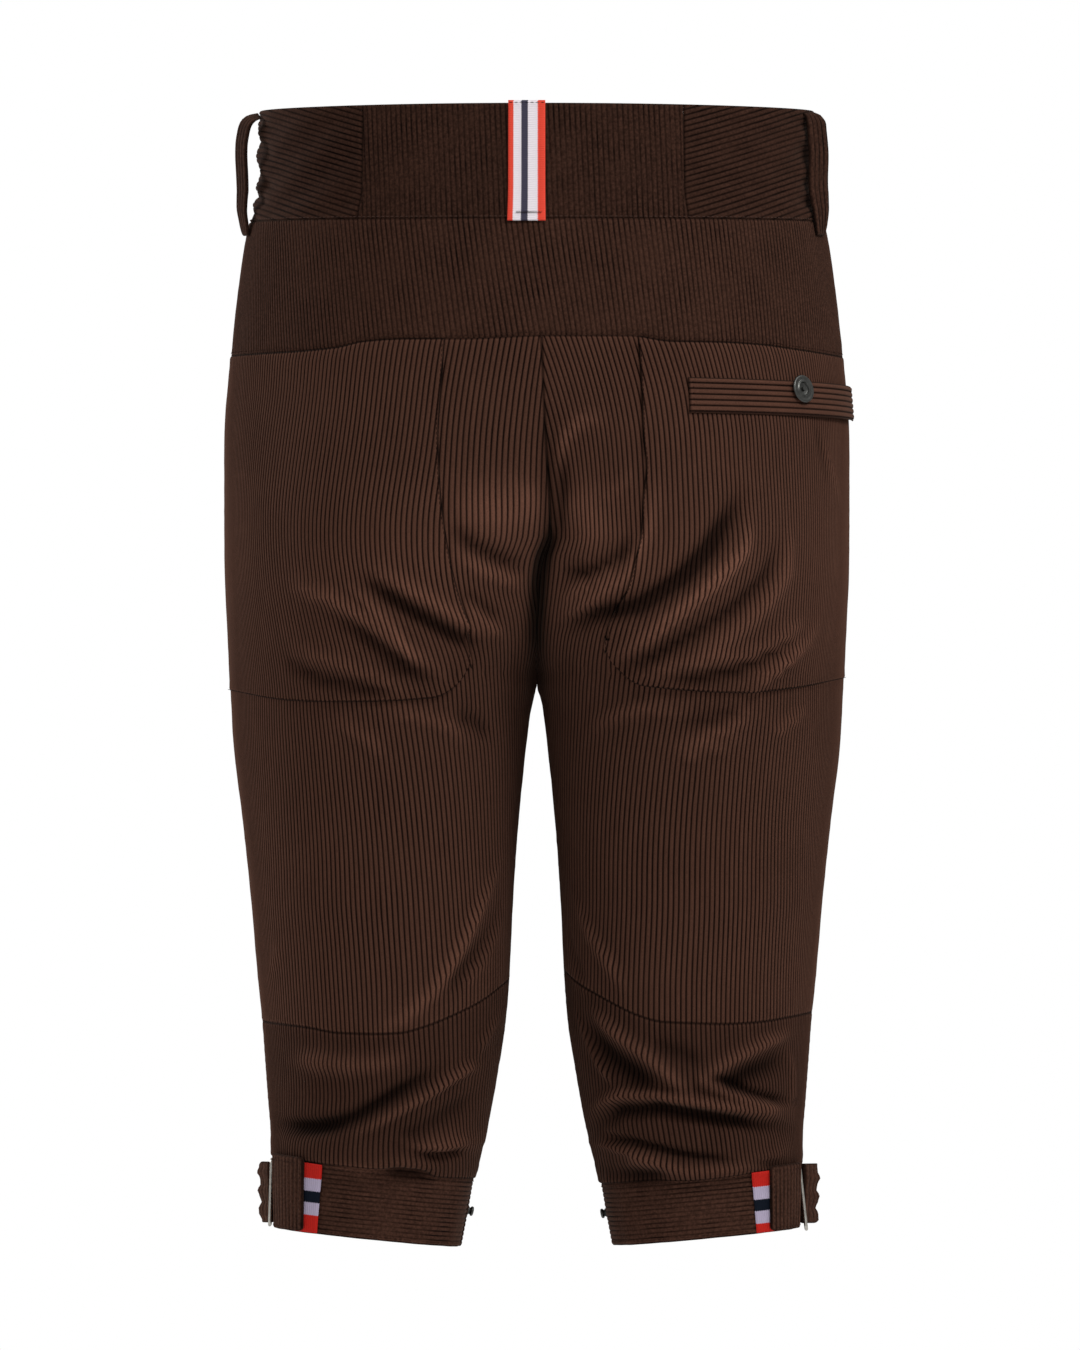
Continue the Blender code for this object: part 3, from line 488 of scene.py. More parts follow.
def cloth(ends, top, foot, lean, *, side=0, rib=RIB, thick=CLOTH, lift=0.0, free="", step=5.6):
    """A cut piece with its wales modelled, as the grids of its two faces and its grain.

    ends gives how far round its two upright edges stand at a height, top and foot the heights of its other
    edges at an x. Edges are sewn down, apart from those whose letters are in free: l, r, t and f.
    """
    tall = float(top(np.array(0.0)) - foot(np.array(100.0)))
    high = max(float(top(np.array(x))) for x in (-200.0, 0.0, 200.0)) + 4
    low = min(float(foot(np.array(x))) for x in (-200.0, -100.0, 0.0, 100.0, 200.0)) - 14
    heights = np.linspace(high, low, int((high - low) / 4) + 2)
    course = wales(ends, heights, lean, side) - seam_at(side, heights)[:, None]

    def row_at(z):
        return np.clip((high - z) / (high - low) * (len(heights) - 1), 0, len(heights) - 1.001)

    def round_at(u, z):
        at = blended(course, row_at(z), np.clip(u, 0, course.shape[1] - 1.001))
        return np.clip(at + seam_at(side, z), *ends(z))

    t = rows_along(tall, step, 2.2) / tall
    edges = []
    for n in (0, 1):
        z = high + (low - high) * t
        for _ in range(8):
            arc = ends(z)[n]
            x = across(arc, z)
            z = top(x) + (foot(x) - top(x)) * t
        row = row_at(z)
        r = row.astype(int)
        lines = course[r] * (1 - (row - r))[:, None] + course[r + 1] * (row - r)[:, None]
        arc = arc - seam_at(side, z)
        edges.append(np.array([np.interp(a, line, np.arange(line.size)) for a, line in zip(arc, lines)]))
    left, right = edges[0][:, None], edges[1][:, None]
    column = (np.arange(course.shape[1] - 1)[:, None] + CREST).ravel()[None, :]
    inset = INSET / WALE
    column = np.clip(column + 0 * left, left + inset, right - inset)
    shifts = np.abs(np.diff(column, axis=1)).max(axis=0) > 1e-6
    column = column[:, np.concatenate([[True], shifts])]
    column = np.concatenate([left + NEAR / WALE, column, right - NEAR[::-1] / WALE], axis=1)

    t = t[:, None] + 0 * column
    z = high + (low - high) * t
    for _ in range(7):
        arc = round_at(column, z)
        x = across(arc, z)
        z = top(x) + (foot(x) - top(x)) * t
    arc = round_at(column, z)
    share = share_of(arc, z)
    places, way = skin(share, z)

    to = {
        "l": (column - left) * WALE,
        "r": (right - column) * WALE,
        "t": (top(x) - foot(x)) * t,
        "f": (top(x) - foot(x)) * (1 - t),
    }
    nearest = np.minimum.reduce(list(to.values()))
    raised = ribbed(column, nearest, rib)
    for edge, far in to.items():
        if edge in free:
            raised += 0.25 * np.exp(-((far - 2.2) ** 2) / 2)
        else:
            along = z if edge in "lr" else arc
            raised -= 0.9 * np.clip(1 - far / 3, 0, 1) ** 2 * (1 - 0.9 * np.abs(way[..., 0]))
            raised += PUCKER * np.sin(along / 1.15 + 3 * np.sin(along / 17)) * np.exp(-far / 5)
    height = lift(arc, z, x, to) if callable(lift) else lift
    # The grain's fourth part is the fold relief, from which the corduroy paints shade in troughs and light on
    # crests.
    grain = np.stack([column, z, nearest, relief(share, z, places, way)], -1)
    faces = shell(places, way, height, raised, nearest, thick)
    for face in faces:  # the edges of the middle seams meet
        face[..., 0] = np.where((np.abs(places[..., 0]) < 0.3) & (z > CROTCH), 0, face[..., 0])
    return faces, grain


def meshed(name, made, material):
    mesh = bpy.data.meshes.new(name)
    made.to_mesh(mesh)
    made.free()
    mesh.shade_smooth()
    mesh.materials.append(material)
    return mesh


def linked(name, data):
    obj = bpy.data.objects.new(name, data)
    bpy.context.scene.collection.objects.link(obj)
    return obj


def piece(name, data, node=None):
    """A piece of the breeches, riding on their one body and standing for a node of the CAD."""
    obj = linked(name, data)
    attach(obj, "root")
    if node:
        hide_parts(node)
    return obj


def sheet_of(name, cut, material, node):
    """The closed shell between the two faces of a cut piece, held by its seams."""
    faces, grain = cut
    rows, cols = grain.shape[:2]
    made = bmesh.new()
    for _ in faces:
        bmesh.ops.create_grid(made, x_segments=cols - 1, y_segments=rows - 1, size=1)
    bmesh.ops.reverse_faces(made, faces=made.faces[len(made.faces) // 2 :])
    mesh = bpy.data.meshes.new(name)
    made.to_mesh(mesh)
    made.free()
    places = np.concatenate([leaned(face).reshape(-1, 3) for face in faces]) * MM
    mesh.vertices.foreach_set("co", places.astype(np.float32).ravel())
    grains = mesh.attributes.new("grain", "FLOAT_COLOR", "POINT")
    grains.data.foreach_set("color", np.tile(grain.reshape(-1, 4), (2, 1)).astype(np.float32).ravel())
    made = bmesh.new()
    made.from_mesh(mesh)
    bmesh.ops.remove_doubles(made, verts=made.verts[:], dist=2e-6)
    bmesh.ops.recalc_face_normals(made, faces=made.faces[:])
    made.to_mesh(mesh)
    made.free()
    mesh.shade_smooth()
    mesh.materials.append(material)
    obj = piece(name, mesh, node)


class Finish:
    """One output in a material's nodes, with the sums by which a finish is worked out."""

    def __init__(self, tree, output=None):
        self.tree, self.output = tree, output

    def node(self, kind, settings=None, sockets=None, result=0):
        made = self.tree.nodes.new(kind)
        for key, value in (settings or {}).items():
            if key == "stops":
                stops = made.color_ramp.elements
                while len(stops) < len(value):
                    stops.new(1)
                for stop, (place, colour) in zip(stops, value):
                    stop.position, stop.color = place, (*colour, 1)
            elif key == "ramp":
                made.color_ramp.interpolation = value
            else:
                setattr(made, key, value)
        for key, value in (sockets or {}).items():
            if isinstance(value, Finish):
                self.tree.links.new(value.output, made.inputs[key])
            else:
                made.inputs[key].default_value = value
        return Finish(self.tree, made.outputs[result])

    def sum(self, operation, first, second=0.0):
        return self.node("ShaderNodeMath", {"operation": operation}, {0: first, 1: second})

    def __add__(self, other):
        return self.sum("ADD", self, other)

    __radd__ = __add__

    def __sub__(self, other):
        return self.sum("SUBTRACT", self, other)

    def __rsub__(self, other):
        return self.sum("SUBTRACT", other, self)

    def __mul__(self, other):
        return self.sum("MULTIPLY", self, other)

    def __pow__(self, other):
        return self.sum("POWER", self, other)

    def __mod__(self, other):
        return self.sum("FLOORED_MODULO", self, other)

    def __abs__(self):
        return self.sum("ABSOLUTE", self)

    def place(self):
        return self.node("ShaderNodeTexCoord", result="Object")

    def grain(self, result="Vector"):
        return self.node("ShaderNodeAttribute", {"attribute_name": "grain"}, result=result)

    def split(self, vector, axes="XYZ"):
        return (self.node("ShaderNodeSeparateXYZ", None, {0: vector}, axis) for axis in axes)

    def vector(self, *parts):
        return self.node("ShaderNodeCombineXYZ", None, dict(enumerate(parts)))

    def bumped(self, height, deep):
        sockets = {"Strength": 0.4, "Distance": deep, "Height": height}
        return self.node("ShaderNodeBump", None, sockets, "Normal")

    def noise(self, where, scale, detail):
        sockets = {"Vector": where, "Scale": scale, "Detail": detail}
        return self.node("ShaderNodeTexNoise", {"noise_dimensions": "3D"}, sockets, "Fac")

    def mix(self, share, first, second, how="MIX"):
        settings = {"data_type": "RGBA", "blend_type": how, "clamp_result": True}
        return self.node("ShaderNodeMix", settings, {0: share, 6: first, 7: second}, 2)

    def ranged(self, value, given, wanted):
        return self.node("ShaderNodeMapRange", None, dict(enumerate((value, *given, *wanted))))

    def scaled(self, colour, by):
        return self.node("ShaderNodeVectorMath", {"operation": "SCALE"}, {0: colour, "Scale": by})


def finished(name, **sockets):
    """A new material and its shader's first Finish. sockets are even values of the shader."""
    material = bpy.data.materials.new(name)
    material.use_nodes = True
    shader = material.node_tree.nodes["Principled BSDF"]
    for key, value in sockets.items():
        shader.inputs[key.replace("_", " ")].default_value = value
    return material, shader, Finish(material.node_tree)


def joined(material, shader, **sockets):
    for key, value in sockets.items():
        material.node_tree.links.new(value.output, shader.inputs[key.replace("_", " ")])
    return material


def mottled(name, dark, bright, scale, detail, scratches=None, **sockets):
    """A material between two colours. scratches gives their scale, the least roughness and what they add."""
    material, shader, f = finished(name, **sockets)
    joined(material, shader, Base_Color=f.mix(f.noise(f.place(), scale, detail), (*dark, 1), (*bright, 1)))
    if scratches:
        fine, least, rest = scratches
        joined(material, shader, Roughness=least + f.noise(f.place(), fine, 2) * rest)
    return material


# The groove colour is the bare root's own brown, darkened further with painted shade for the shadow between the
# ribs.
RIB_BROWN, ROOT_BROWN_AND_SHADE = (0.078, 0.0345, 0.0225), (0.003, 0.001, 0.0007)
SEAT_Z, SEAT_TALL = 0.303, 0.07  # where the seat's colour is lightened by a painted highlight, and how far from there it shows, in metres


def corduroy(name, shade=1.0, cover=0.85, seam=0.42, ragged=0.0):
    """Cotton pile on ribs, brushed uneven, with painted shade in its grooves, fold troughs, edges and seams,
    and painted light on fold crests and the lower seat.

    cover is how dark the painted shade leaves the least open roots, seam how bright the painted shade and dark
    seam line leave the edges, and ragged how mottled the pile.
    """
    rib, groove = (tuple(shade * np.array(colour)) for colour in (RIB_BROWN, ROOT_BROWN_AND_SHADE))
    material, shader, f = finished(
        name,
        Roughness=0.88,
        Specular_IOR_Level=0.04,
        Sheen_Weight=0.07,
        Sheen_Roughness=0.42,
        Sheen_Tint=(0.6, 0.42, 0.32, 1),
    )
    u, v, edge = f.split(f.grain())
    fold, place = f.grain("Alpha"), f.place()
    pile, brushed = f.noise(place, 1000, 3), f.noise(place, 13, 3)
    tuft = f.noise(f.vector(u * 1.3, v * 0.9), 1.0, 2)
    length = f.noise(f.vector(u * 0.8, v * 0.045, 3.0), 1.0, 2)
    # Painted light and shade: the colour is lightened on fold crests and darkened in fold troughs, by the fold
    # relief.
    painted_fold_light = f.ranged(fold, (-5, 0), (0.26, 0.93)) + f.ranged(fold, (0, 6), (0, 0.85))
    x, z = f.split(place, "XZ")
    # Painted light: the colour is lightened across the lower seat as a painted highlight.
    painted_seat_light = f.ranged(abs(z + SEAT_Z), (0.0, SEAT_TALL), (0.42, 0)) * f.ranged(abs(x), (0.06, 0.15), (1, 0.3))
    tone = 0.08 + painted_seat_light + pile * 0.85 + tuft * 0.45 + length * 0.4 + brushed * 0.3
    # Painted shade: the colour darkens further in the deepest troughs, such as the valley down the middle of
    # the back.
    tone = tone * painted_fold_light * f.ranged(fold, (-15, -5), (0.15, 1))
    tone = tone * (1 + f.ranged(f.noise(place, 560, 2), (0.36, 0.64), (-1, 1)) * ragged)
    root = abs((u % 1.0) * 2 - 1)
    frayed = root + pile * 0.4 + tuft * 0.2 - 0.3
    covered = f.ranged(f.noise(place, 34, 3) + length * 0.5, (0.5, 1.0), (cover, 1))
    # Painted shade: the grooves between the ribs are darkened in the colour, less where the pile covers them.
    dark = f.ranged(frayed, (0.5, 0.84), (0.0, 0.97)) * covered
    # Painted shade and dark seam lines: the colour darkens in a thin line along each edge and seam, then is a
    # little lighter just inside it.
    edge_dark_and_shade = f.ranged(edge, (0.4, 1.4), (seam, 1.15)) * f.ranged(edge, (1.3, 2.6), (1, 0.87))
    colour = f.scaled(f.mix(dark, (*rib, 1), (*groove, 1)), tone * edge_dark_and_shade)
    normal = f.bumped(1 - root**3.0 + pile * 0.35 + tuft * 0.2, 0.0004)
    return joined(material, shader, Base_Color=colour, Normal=normal)


BROWN = corduroy("brown corduroy")
# The patch's edges get the darkest painted shade, for the shadow line along its free edge, with its dark seam
# lines.
PATCH_BROWN = corduroy("brown corduroy patch", seam=0.1)


def yoke_seam(x):
    return follow(YOKE_SEAM, x)[0]


def knee_seam(side):
    return lambda x: follow(KNEE_SEAM[side], np.abs(x))[0]


def lean_from(table, side):
    """The wales' lean towards the wearer's right, from rows of z and their lean away from the middle."""

    def lean(x, z):
        columns = follow(table, z)
        at = np.clip(np.interp(np.abs(x), LEAN_X, np.arange(len(LEAN_X))), 0, len(LEAN_X) - 1.001)
        n = at.astype(int)
        columns = np.broadcast_to(columns, (len(LEAN_X), *np.shape(at)))
        low = np.take_along_axis(columns, n[None], 0)[0]
        high = np.take_along_axis(columns, n[None] + 1, 0)[0]
        return side * (low + (high - low) * (at - n))

    return lean


def back_lean(side):
    return lean_from([(z, *row) for z, row in zip(LEAN_Z, BACK_LEAN[side])], side)


def back_ends(side):
    return ends_of(edge_at(side * SIDE), lambda z: side * EDGE_GAP + 0 * np.asarray(z, float))


def on_level(z):
    """A line at one height."""
    return lambda along: z + 0 * along


for side, mark in SIDES:
    cut = cloth(back_ends(side), yoke_seam, knee_seam(side), back_lean(side), side=side)
    sheet_of(f"upper_back_{mark}", cut, BROWN, f"back_{mark}")


# Seat patches
# A second layer of the same corduroy on each seat, with a rounded inner corner, caught in the yoke's seam
# and the side seam, and stitched down along its inner and lower edges.
PATCH_LIFT = 1.7  # of its under face over the back
PATCH_ROUND = 26.0  # radius of its corner
PATCH_SEAM_X = 193.0  # |x| at which the side seam has drawn it in
# |x|, z of the lower edge, carried on to the crotch, left then right
PATCH_EDGE = {
    -1: (
        (0, -373), (30, -379), (46, -384), (72, -388.5), (103, -390.5), (133, -391), (163, -390),
        (204, -384),
    ),
    1: (
        (0, -373), (30, -373.5), (45, -375), (72, -380.5), (101, -383.5), (133, -385), (165, -382.5),
        (204, -376),
    ),
}
# z, |x| of the inner edge, carried on down the leg
PATCH_INNER = {
    -1: (
        (-150, 60.4), (-180, 62.4), (-220, 65), (-252, 64), (-276, 61.7), (-308, 55), (-329, 49), (-348, 44),
        (-384, 44), (-450, 55), (-610, 60),
    ),
    1: (
        (-150, 65.7), (-183, 67.7), (-220, 69), (-236, 71), (-260, 68.3), (-276, 67.7), (-300, 63.7),
        (-316, 59.7), (-332, 50), (-348, 45.2), (-375, 46), (-450, 55), (-610, 60),
    ),
}


def patch_inner(side, z):
    """How far round the patch's inner edge stands."""
    return side * arc_at(share_at(follow(PATCH_INNER[side], z)[0], z), z)


def patch_foot(side):
    inner = follow(PATCH_INNER[side], -370.0)[0]

    def foot(x):
        into = np.clip(1 - (np.abs(x) - inner) / PATCH_ROUND, 0, 1)
        return follow(PATCH_EDGE[side], np.abs(x))[0] + PATCH_ROUND * (1 - np.sqrt(1 - into**2))

    return foot


def patch_lift(arc, z, x, to):
    """The patch lies on the back, and is drawn in where it is caught in a seam."""
    side_seam = np.clip((PATCH_SEAM_X - np.abs(x)) / 38, 0.0, 1)
    return PATCH_LIFT * np.minimum(np.clip(to["t"] / 5, 0.25, 1), side_seam) + 0.4


for side, mark in SIDES:
    cut = cloth(
        ends_of(edge_at(side * SIDE), lambda z, side=side: patch_inner(side, z)),
        yoke_seam,
        patch_foot(side),
        back_lean(side),
        side=side,
        lift=patch_lift,
        free="f" + ("r" if side < 0 else "l"),
    )
    on = [f"upper_back_{mark}"]
    sheet_of(f"seat_patch_cloth_{mark}", cut, PATCH_BROWN, f"seat_patch_{mark}")


# Yoke
# One piece of corduroy over both hips, cut a little off the straight so that its wales lean to the right.
cut = cloth(
    ends_of(edge_at(-SIDE), edge_at(SIDE)), on_level(BAND_SEAM), yoke_seam, lambda x, z: 7.0 + 0 * x, rib=0.55
)
YOKE_BROWN = corduroy("brown corduroy yoke", 0.66, 0.3, 0.75, 0.22)
sheet_of("hip_yoke", cut, YOKE_BROWN, "yoke_back")


# Rear pocket welt and its button
# A folded strip of corduroy with its wales lengthways, over the slit of a pocket in the right seat patch,
# closed by a pressed metal jeans button.
WELT_X = 99.0  # its inner end
WELT_UPPER, WELT_LOWER = (-178.9, -182.8), (-202.6, -205.3)  # z at its inner and outer end
BROWN_WELT = corduroy("brown corduroy welt", 1.1)


def strip(
    edges, top, foot, lift, *, pitch=WALE, rib=RIB, thick=CLOTH, step=3.0, upright=False, slant=0.0, skew=0.0
):
    """A strip of corduroy between two shares of the way round, its wales along it unless they are upright.

    top and foot are its edges' heights at a share. slant is how far the wales fall for each mm of x, and
    skew how far round, in shares, the foot stands from the top.
    """
    first, last = sorted(edges)
    middle = np.linspace(first, last, 40)
    high, low = top(middle) + 0 * middle, foot(middle) + 0 * middle
    line, _ = skin(middle, (high + low) / 2)
    walked = np.concatenate([[0], np.cumsum(np.linalg.norm(np.diff(line, axis=0), axis=1))])
    wide = walked[-1]
    tall = (high - low).max()

    long, broad = (tall, wide) if upright else (wide, tall)
    along = rows_along(long, step, 2)[None, :]
    pitch *= np.hypot(1, slant)
    fall = slant * np.interp(along, walked, line[:, 0] - line[0, 0])
    number = np.arange(np.floor(-fall.max() / pitch), np.ceil((broad - fall.min()) / pitch) + 1)
    lines = (number[:, None] + np.array([-0.5, -0.16, 0, 0.16])).ravel()[:, None] * pitch + fall
    lines = np.clip(lines, 1.4, broad - 1.4)
    lines = lines[np.concatenate([[True], np.abs(np.diff(lines, axis=0)).max(axis=1) > 1e-6])]
    lines = np.concatenate([NEAR[:, None] + 0 * along, lines, broad - NEAR[::-1, None] + 0 * along])
    along = along + 0 * lines
    at = (lines - fall) / pitch
    d, o = (along, lines) if upright else (lines, along)
    share = first + (last - first) * o / wide + skew * d / tall
    z = top(share) + (foot(share) - top(share)) * d / tall
    places, way = skin(share, z)
    nearest = np.minimum.reduce([o, wide - o, d, tall - d])
    raised = ribbed(at, nearest, rib) + 0.2 * np.exp(-((nearest - 2) ** 2))
    height = lift(share, z) if callable(lift) else lift
    # The grain's fourth part is the fold relief, from which the corduroy paints shade in troughs and light on
    # crests.
    grain = np.stack([at, z if upright else o, nearest, relief(share, z, places, way)], -1)
    return shell(places, way, height, raised, nearest, thick), grain


def between_ends(values, first, last):
    return lambda share: values[0] + (values[1] - values[0]) * (share - first) / (last - first)


welt_start = float(share_at(np.array(WELT_X), np.array(-190.0)))
upper = between_ends(WELT_UPPER, welt_start, SIDE)
lower = between_ends(WELT_LOWER, welt_start, SIDE)
cut = strip((welt_start, SIDE), upper, lower, PATCH_LIFT + 2.2, pitch=3.75, rib=0.8)
sheet_of("rear_pocket_welt", cut, BROWN_WELT, "pocket_welt")

GUNMETAL = mottled(
    "gunmetal plate", (0.03, 0.032, 0.03), (0.15, 0.15, 0.14), 420, 3, (2600, 0.24, 0.25), Metallic=1.0
)


def turned(name, rings, centre, way, node, steps=48, post=None):
    """A metal piece spun from (radius, height) pairs, standing at centre along way, with a six-sided post."""
    made = bmesh.new()
    line = [made.verts.new((radius * MM, 0, height * MM)) for radius, height in rings]
    edges = [made.edges.new(pair) for pair in zip(line, line[1:])]
    bmesh.ops.spin(made, geom=line + edges, axis=(0, 0, 1), angle=2 * np.pi, steps=steps, use_merge=True)
    bmesh.ops.remove_doubles(made, verts=made.verts[:], dist=1e-6)
    if post:
        radius, low, high = np.array(post) * MM
        hexagon = bmesh.ops.create_cone(
            made, cap_ends=True, segments=6, radius1=radius, radius2=radius * 0.86, depth=high - low
        )
        bmesh.ops.translate(made, verts=hexagon["verts"], vec=(0, 0, (high + low) / 2))
    bmesh.ops.recalc_face_normals(made, faces=made.faces[:])
    turn = Vector(way).to_track_quat("Z", "Y").to_matrix().to_4x4()
    bmesh.ops.transform(made, matrix=Matrix.Translation(Vector(centre * MM)) @ turn, verts=made.verts[:])
    mesh = meshed(name, made, GUNMETAL)
    mesh.set_sharp_from_angle(angle=np.radians(38))
    piece(name, mesh, node)


# Radius and height of the button's outline, from the middle of its back to the floor of its face
BUTTON = (
    (0, 0), (3.0, 0), (3.0, 1.2), (8.6, 1.3), (9.15, 1.6), (9.35, 2.1), (9.2, 2.6), (8.8, 2.95), (8.3, 3.05),
    (7.2, 2.85), (6.2, 2.75), (5.6, 2.9), (5.25, 3.25), (4.9, 3.4), (4.5, 3.3), (4.2, 2.8), (4.0, 2.1),
    (3.4, 1.9), (0, 1.9),
)
BUTTON_POST = (1.7, 1.8, 3.0)  # radius, foot and head
BUTTON_X, BUTTON_Z, BUTTON_LIFT = 171.0, -186.5, 4.5
centre, way = skin(share_at(np.array(BUTTON_X), np.array(-187.0)), BUTTON_Z)
turned("rear_pocket_button", BUTTON, centre + way * BUTTON_LIFT, way, "pocket_button", post=BUTTON_POST)


# Lower backs
# The back of each leg from the seam behind the knee to the cuff, bunched into soft folds over the cuff.

# z of the cuff's upper edge at the outer side and its fall towards the inner side, then the lower edge's
CUFF_EDGES = {-1: ((-692.7, 0.105), (-740.0, 0.102)), 1: ((-698.5, 0.09), (-740.0, 0.095))}
# |x|, how far the cloth hangs over the cuff's upper edge, how far it swells
BAGS = {
    -1: (
        (40, 0.5, 0.8), (58, 1.0, 1.5), (67, 1.2, 2.5), (73, -1.6, 3.8), (80, -3.6, 5), (92, -3.4, 5.2),
        (104, -1.6, 4.6), (125, -0.9, 3), (150, 0, 1), (176, 0, 0.5),
    ),
    1: ((40, 0, 0.8), (75, 0.7, 0.8), (108, 2.3, 1.2), (144, 1, 0.8), (176, 0, 0.5)),
}
FRONT_BAG = 0.8  # how far the fronts swell there


def cuff_edge(side, n):
    """The cuff's upper edge, 0, or its lower one, 1, as its height at an x."""
    outer, fall = CUFF_EDGES[side][n]
    return lambda x: outer - fall * (SIDE_X - np.abs(x))


def bagged_hem(side):
    return lambda x: cuff_edge(side, 0)(x) - follow(BAGS[side], np.abs(x))[0]


def hem_lift(side, bags):
    """The cloth swells over the cuff's edge and turns in under itself."""

    def lift(arc, z, x, to):
        full = follow(BAGS[side], np.abs(x))[1] if bags else FRONT_BAG
        return full * np.exp(-(((to["f"] - 7) / 8) ** 2))

    return lift


LOWER_BROWN = corduroy("brown corduroy below the knee", 0.72, 0.8)
for side, mark in SIDES:
    lean, lift = back_lean(side), hem_lift(side, True)
    cut = cloth(back_ends(side), knee_seam(side), bagged_hem(side), lean, side=side, lift=lift, step=3.4)
    on = [f"upper_back_{mark}"]
    sheet_of(f"lower_back_cloth_{mark}", cut, LOWER_BROWN, f"lower_back_{mark}")


# Fronts
# One piece for the front of each leg, from the waistband to the cuff, joined down the middle above the
# crotch, with a stitched placket behind the closing.
FRONT_LEAN = (  # z, then the lean at each |x| of LEAN_X
    (-78, 0, 0, 0, 0, 0, 0), (-200, 2, 2, 1, 0, 0, 0), (-300, 8, 6, 3, 1, 0, 0),
    (-345, -10, -6, -3, -2, 0, 0), (-400, -6, -8, -8, -6, -4, -2), (-520, -3, -5, -6, -4, -2, 0),
    (-575, 4, 4, 0, -4, -4, -2), (-625, 8, 8, 6, -6, -6, -3), (-655, 14, 12, 10, 4, -4, -2),
    (-700, 6, 6, 5, 5, 2, 0),
)


for side, mark in SIDES:
    cut = cloth(
        ends_of(edge_at(side * SIDE), lambda z, side=side: edge_at(side)(z) - side * EDGE_GAP),
        on_level(BAND_SEAM),
        cuff_edge(side, 0),
        lean_from(FRONT_LEAN, side),
        side=side,
        lift=hem_lift(side, False),
        step=14.0,
    )
    on = [f"waistband_front_{mark}"]
    sheet_of(f"leg_front_{mark}", cut, BROWN, f"front_{mark}")

PLACKET_ENDS, PLACKET_FOOT = (0.976, 1.057), -190.0
PLACKET_OUTER, PLACKET_EDGE, PLACKET_INNER = 1.9, 2.4, 3.1  # how far inside the skin it lies
share = np.linspace(*PLACKET_ENDS, 12)[None, :] + np.zeros((30, 1))
z = np.linspace(BAND_SEAM - 2, PLACKET_FOOT, 30)[:, None] + 0 * share
places, way = skin(share, z)
border = np.zeros(share.shape, bool)
border[[0, -1]], border[:, [0, -1]] = True, True
faces = [
    places - way * np.where(border, PLACKET_EDGE, deep)[..., None] for deep in (PLACKET_OUTER, PLACKET_INNER)
]
grain = np.stack([share * 160, z, np.where(border, 0.0, 5.0), 0 * z], -1)
sheet_of("fly_placket_cloth", (faces, grain), BROWN, "fly_placket")


# Waistband
# A deep doubled band in five pieces: a straight-cut one at the back, an elastic one on each side cut on
# the cross, and a front on each side, the left lapping over the right and buttoned to it.
BAND_RISE = 2.7  # of its upper edge at the middle of the back
BACK_ENDS = share_at(np.array([115.2, 97.0]), -40.0)  # where the back piece meets the side pieces
SIDE_END = 0.57  # share at which the side pieces meet the fronts
LAP_START, LAP_RISE = 0.962, 0.014  # where the lap starts to rise over the under piece, and over what share
LAP_END = {-1: 1.03, 1: 1.042}  # share to which each front reaches past the middle, the left one on top
LAP_LIFT = 2.1  # of the left front over the right one
BIAS = 0.34  # how far the side pieces' wales fall for each mm toward the back
BAND_THICK = 1.5
BAND_BROWN = corduroy("brown corduroy band", 0.52, 0.05, 0.8, 0.3)
SIDE_BROWN = corduroy("brown corduroy side band", 0.51, 0.5, 0.7, 0.2)
CUFF_BROWN = corduroy("brown corduroy cuff", 0.7, -0.05, 0.5, 0.25)


def band_top(x):
    return BAND_RISE * np.clip(1 - (x / 215) ** 2, 0, 1) ** 1.2


def gathered(near, far, turn):
    """The elastic between two shares draws the cloth into shallow waves."""

    def lift(share, z):
        out = 1 + 2.0 * np.clip((np.abs(share) - 0.36) / 0.06, 0, 1)
        ripple = np.sin(z / 2.7 + share * 36 + turn + np.sin(z / 9)) * 0.42 * out
        ripple = ripple + np.sin(z / 4.9 - share * 52) * 0.6
        from_ends = np.minimum(np.abs(share - near), np.abs(share - far)) * 400
        return ripple * np.clip(np.minimum(np.minimum(-z, z - BAND_SEAM), from_ends) / 8, 0, 1)

    return lift


ends = ends_of(edge_at(-BACK_ENDS[0]), edge_at(BACK_ENDS[1]))
cut = cloth(
    ends, band_top, on_level(BAND_SEAM), lambda x, z: 2.7 + 0 * x, free="t", thick=BAND_THICK, rib=0.45
)
sheet_of("waistband_back_cloth", cut, BAND_BROWN, "waistband_back")

for side, mark in SIDES:
    near, far = side * BACK_ENDS[0 if side < 0 else 1], side * SIDE_END
    cut = strip(
        (near, far),
        lambda share: band_top(bare(np.abs(share), 0 * share)[0][..., 0]),
        on_level(BAND_SEAM),
        gathered(near, far, side),
        thick=BAND_THICK,
        rib=0.6,
        slant=-side * BIAS,
        step=2.6,
    )
    node = f"waistband_side_{mark}"
    sheet_of(f"waistband_side_cloth_{mark}", cut, SIDE_BROWN, node)

    lift = LAP_LIFT if side < 0 else 0
    cut = strip(
        (side * SIDE_END, side * LAP_END[side]),
        on_level(0),
        on_level(BAND_SEAM),
        lambda share, z, lift=lift: lift * np.clip((-share - LAP_START) / LAP_RISE, 0, 1),
        thick=BAND_THICK,
        upright=True,
        step=5.0,
    )
    node, on = f"waistband_front_{mark}", [f"leg_front_{mark}"]
    sheet_of(f"waistband_front_cloth_{mark}", cut, BAND_BROWN, node)

centre, way = skin(1.008, -38.0)
turned("waist_button_metal", BUTTON, centre + way * (LAP_LIFT + 0.5), way, "waist_button", post=BUTTON_POST)


# Belt loops
# A corduroy strip at each side, turned in at both ends and caught in the band's two edges, the left one
# standing well out, and a striped ribbon laid flat down the middle of the back.

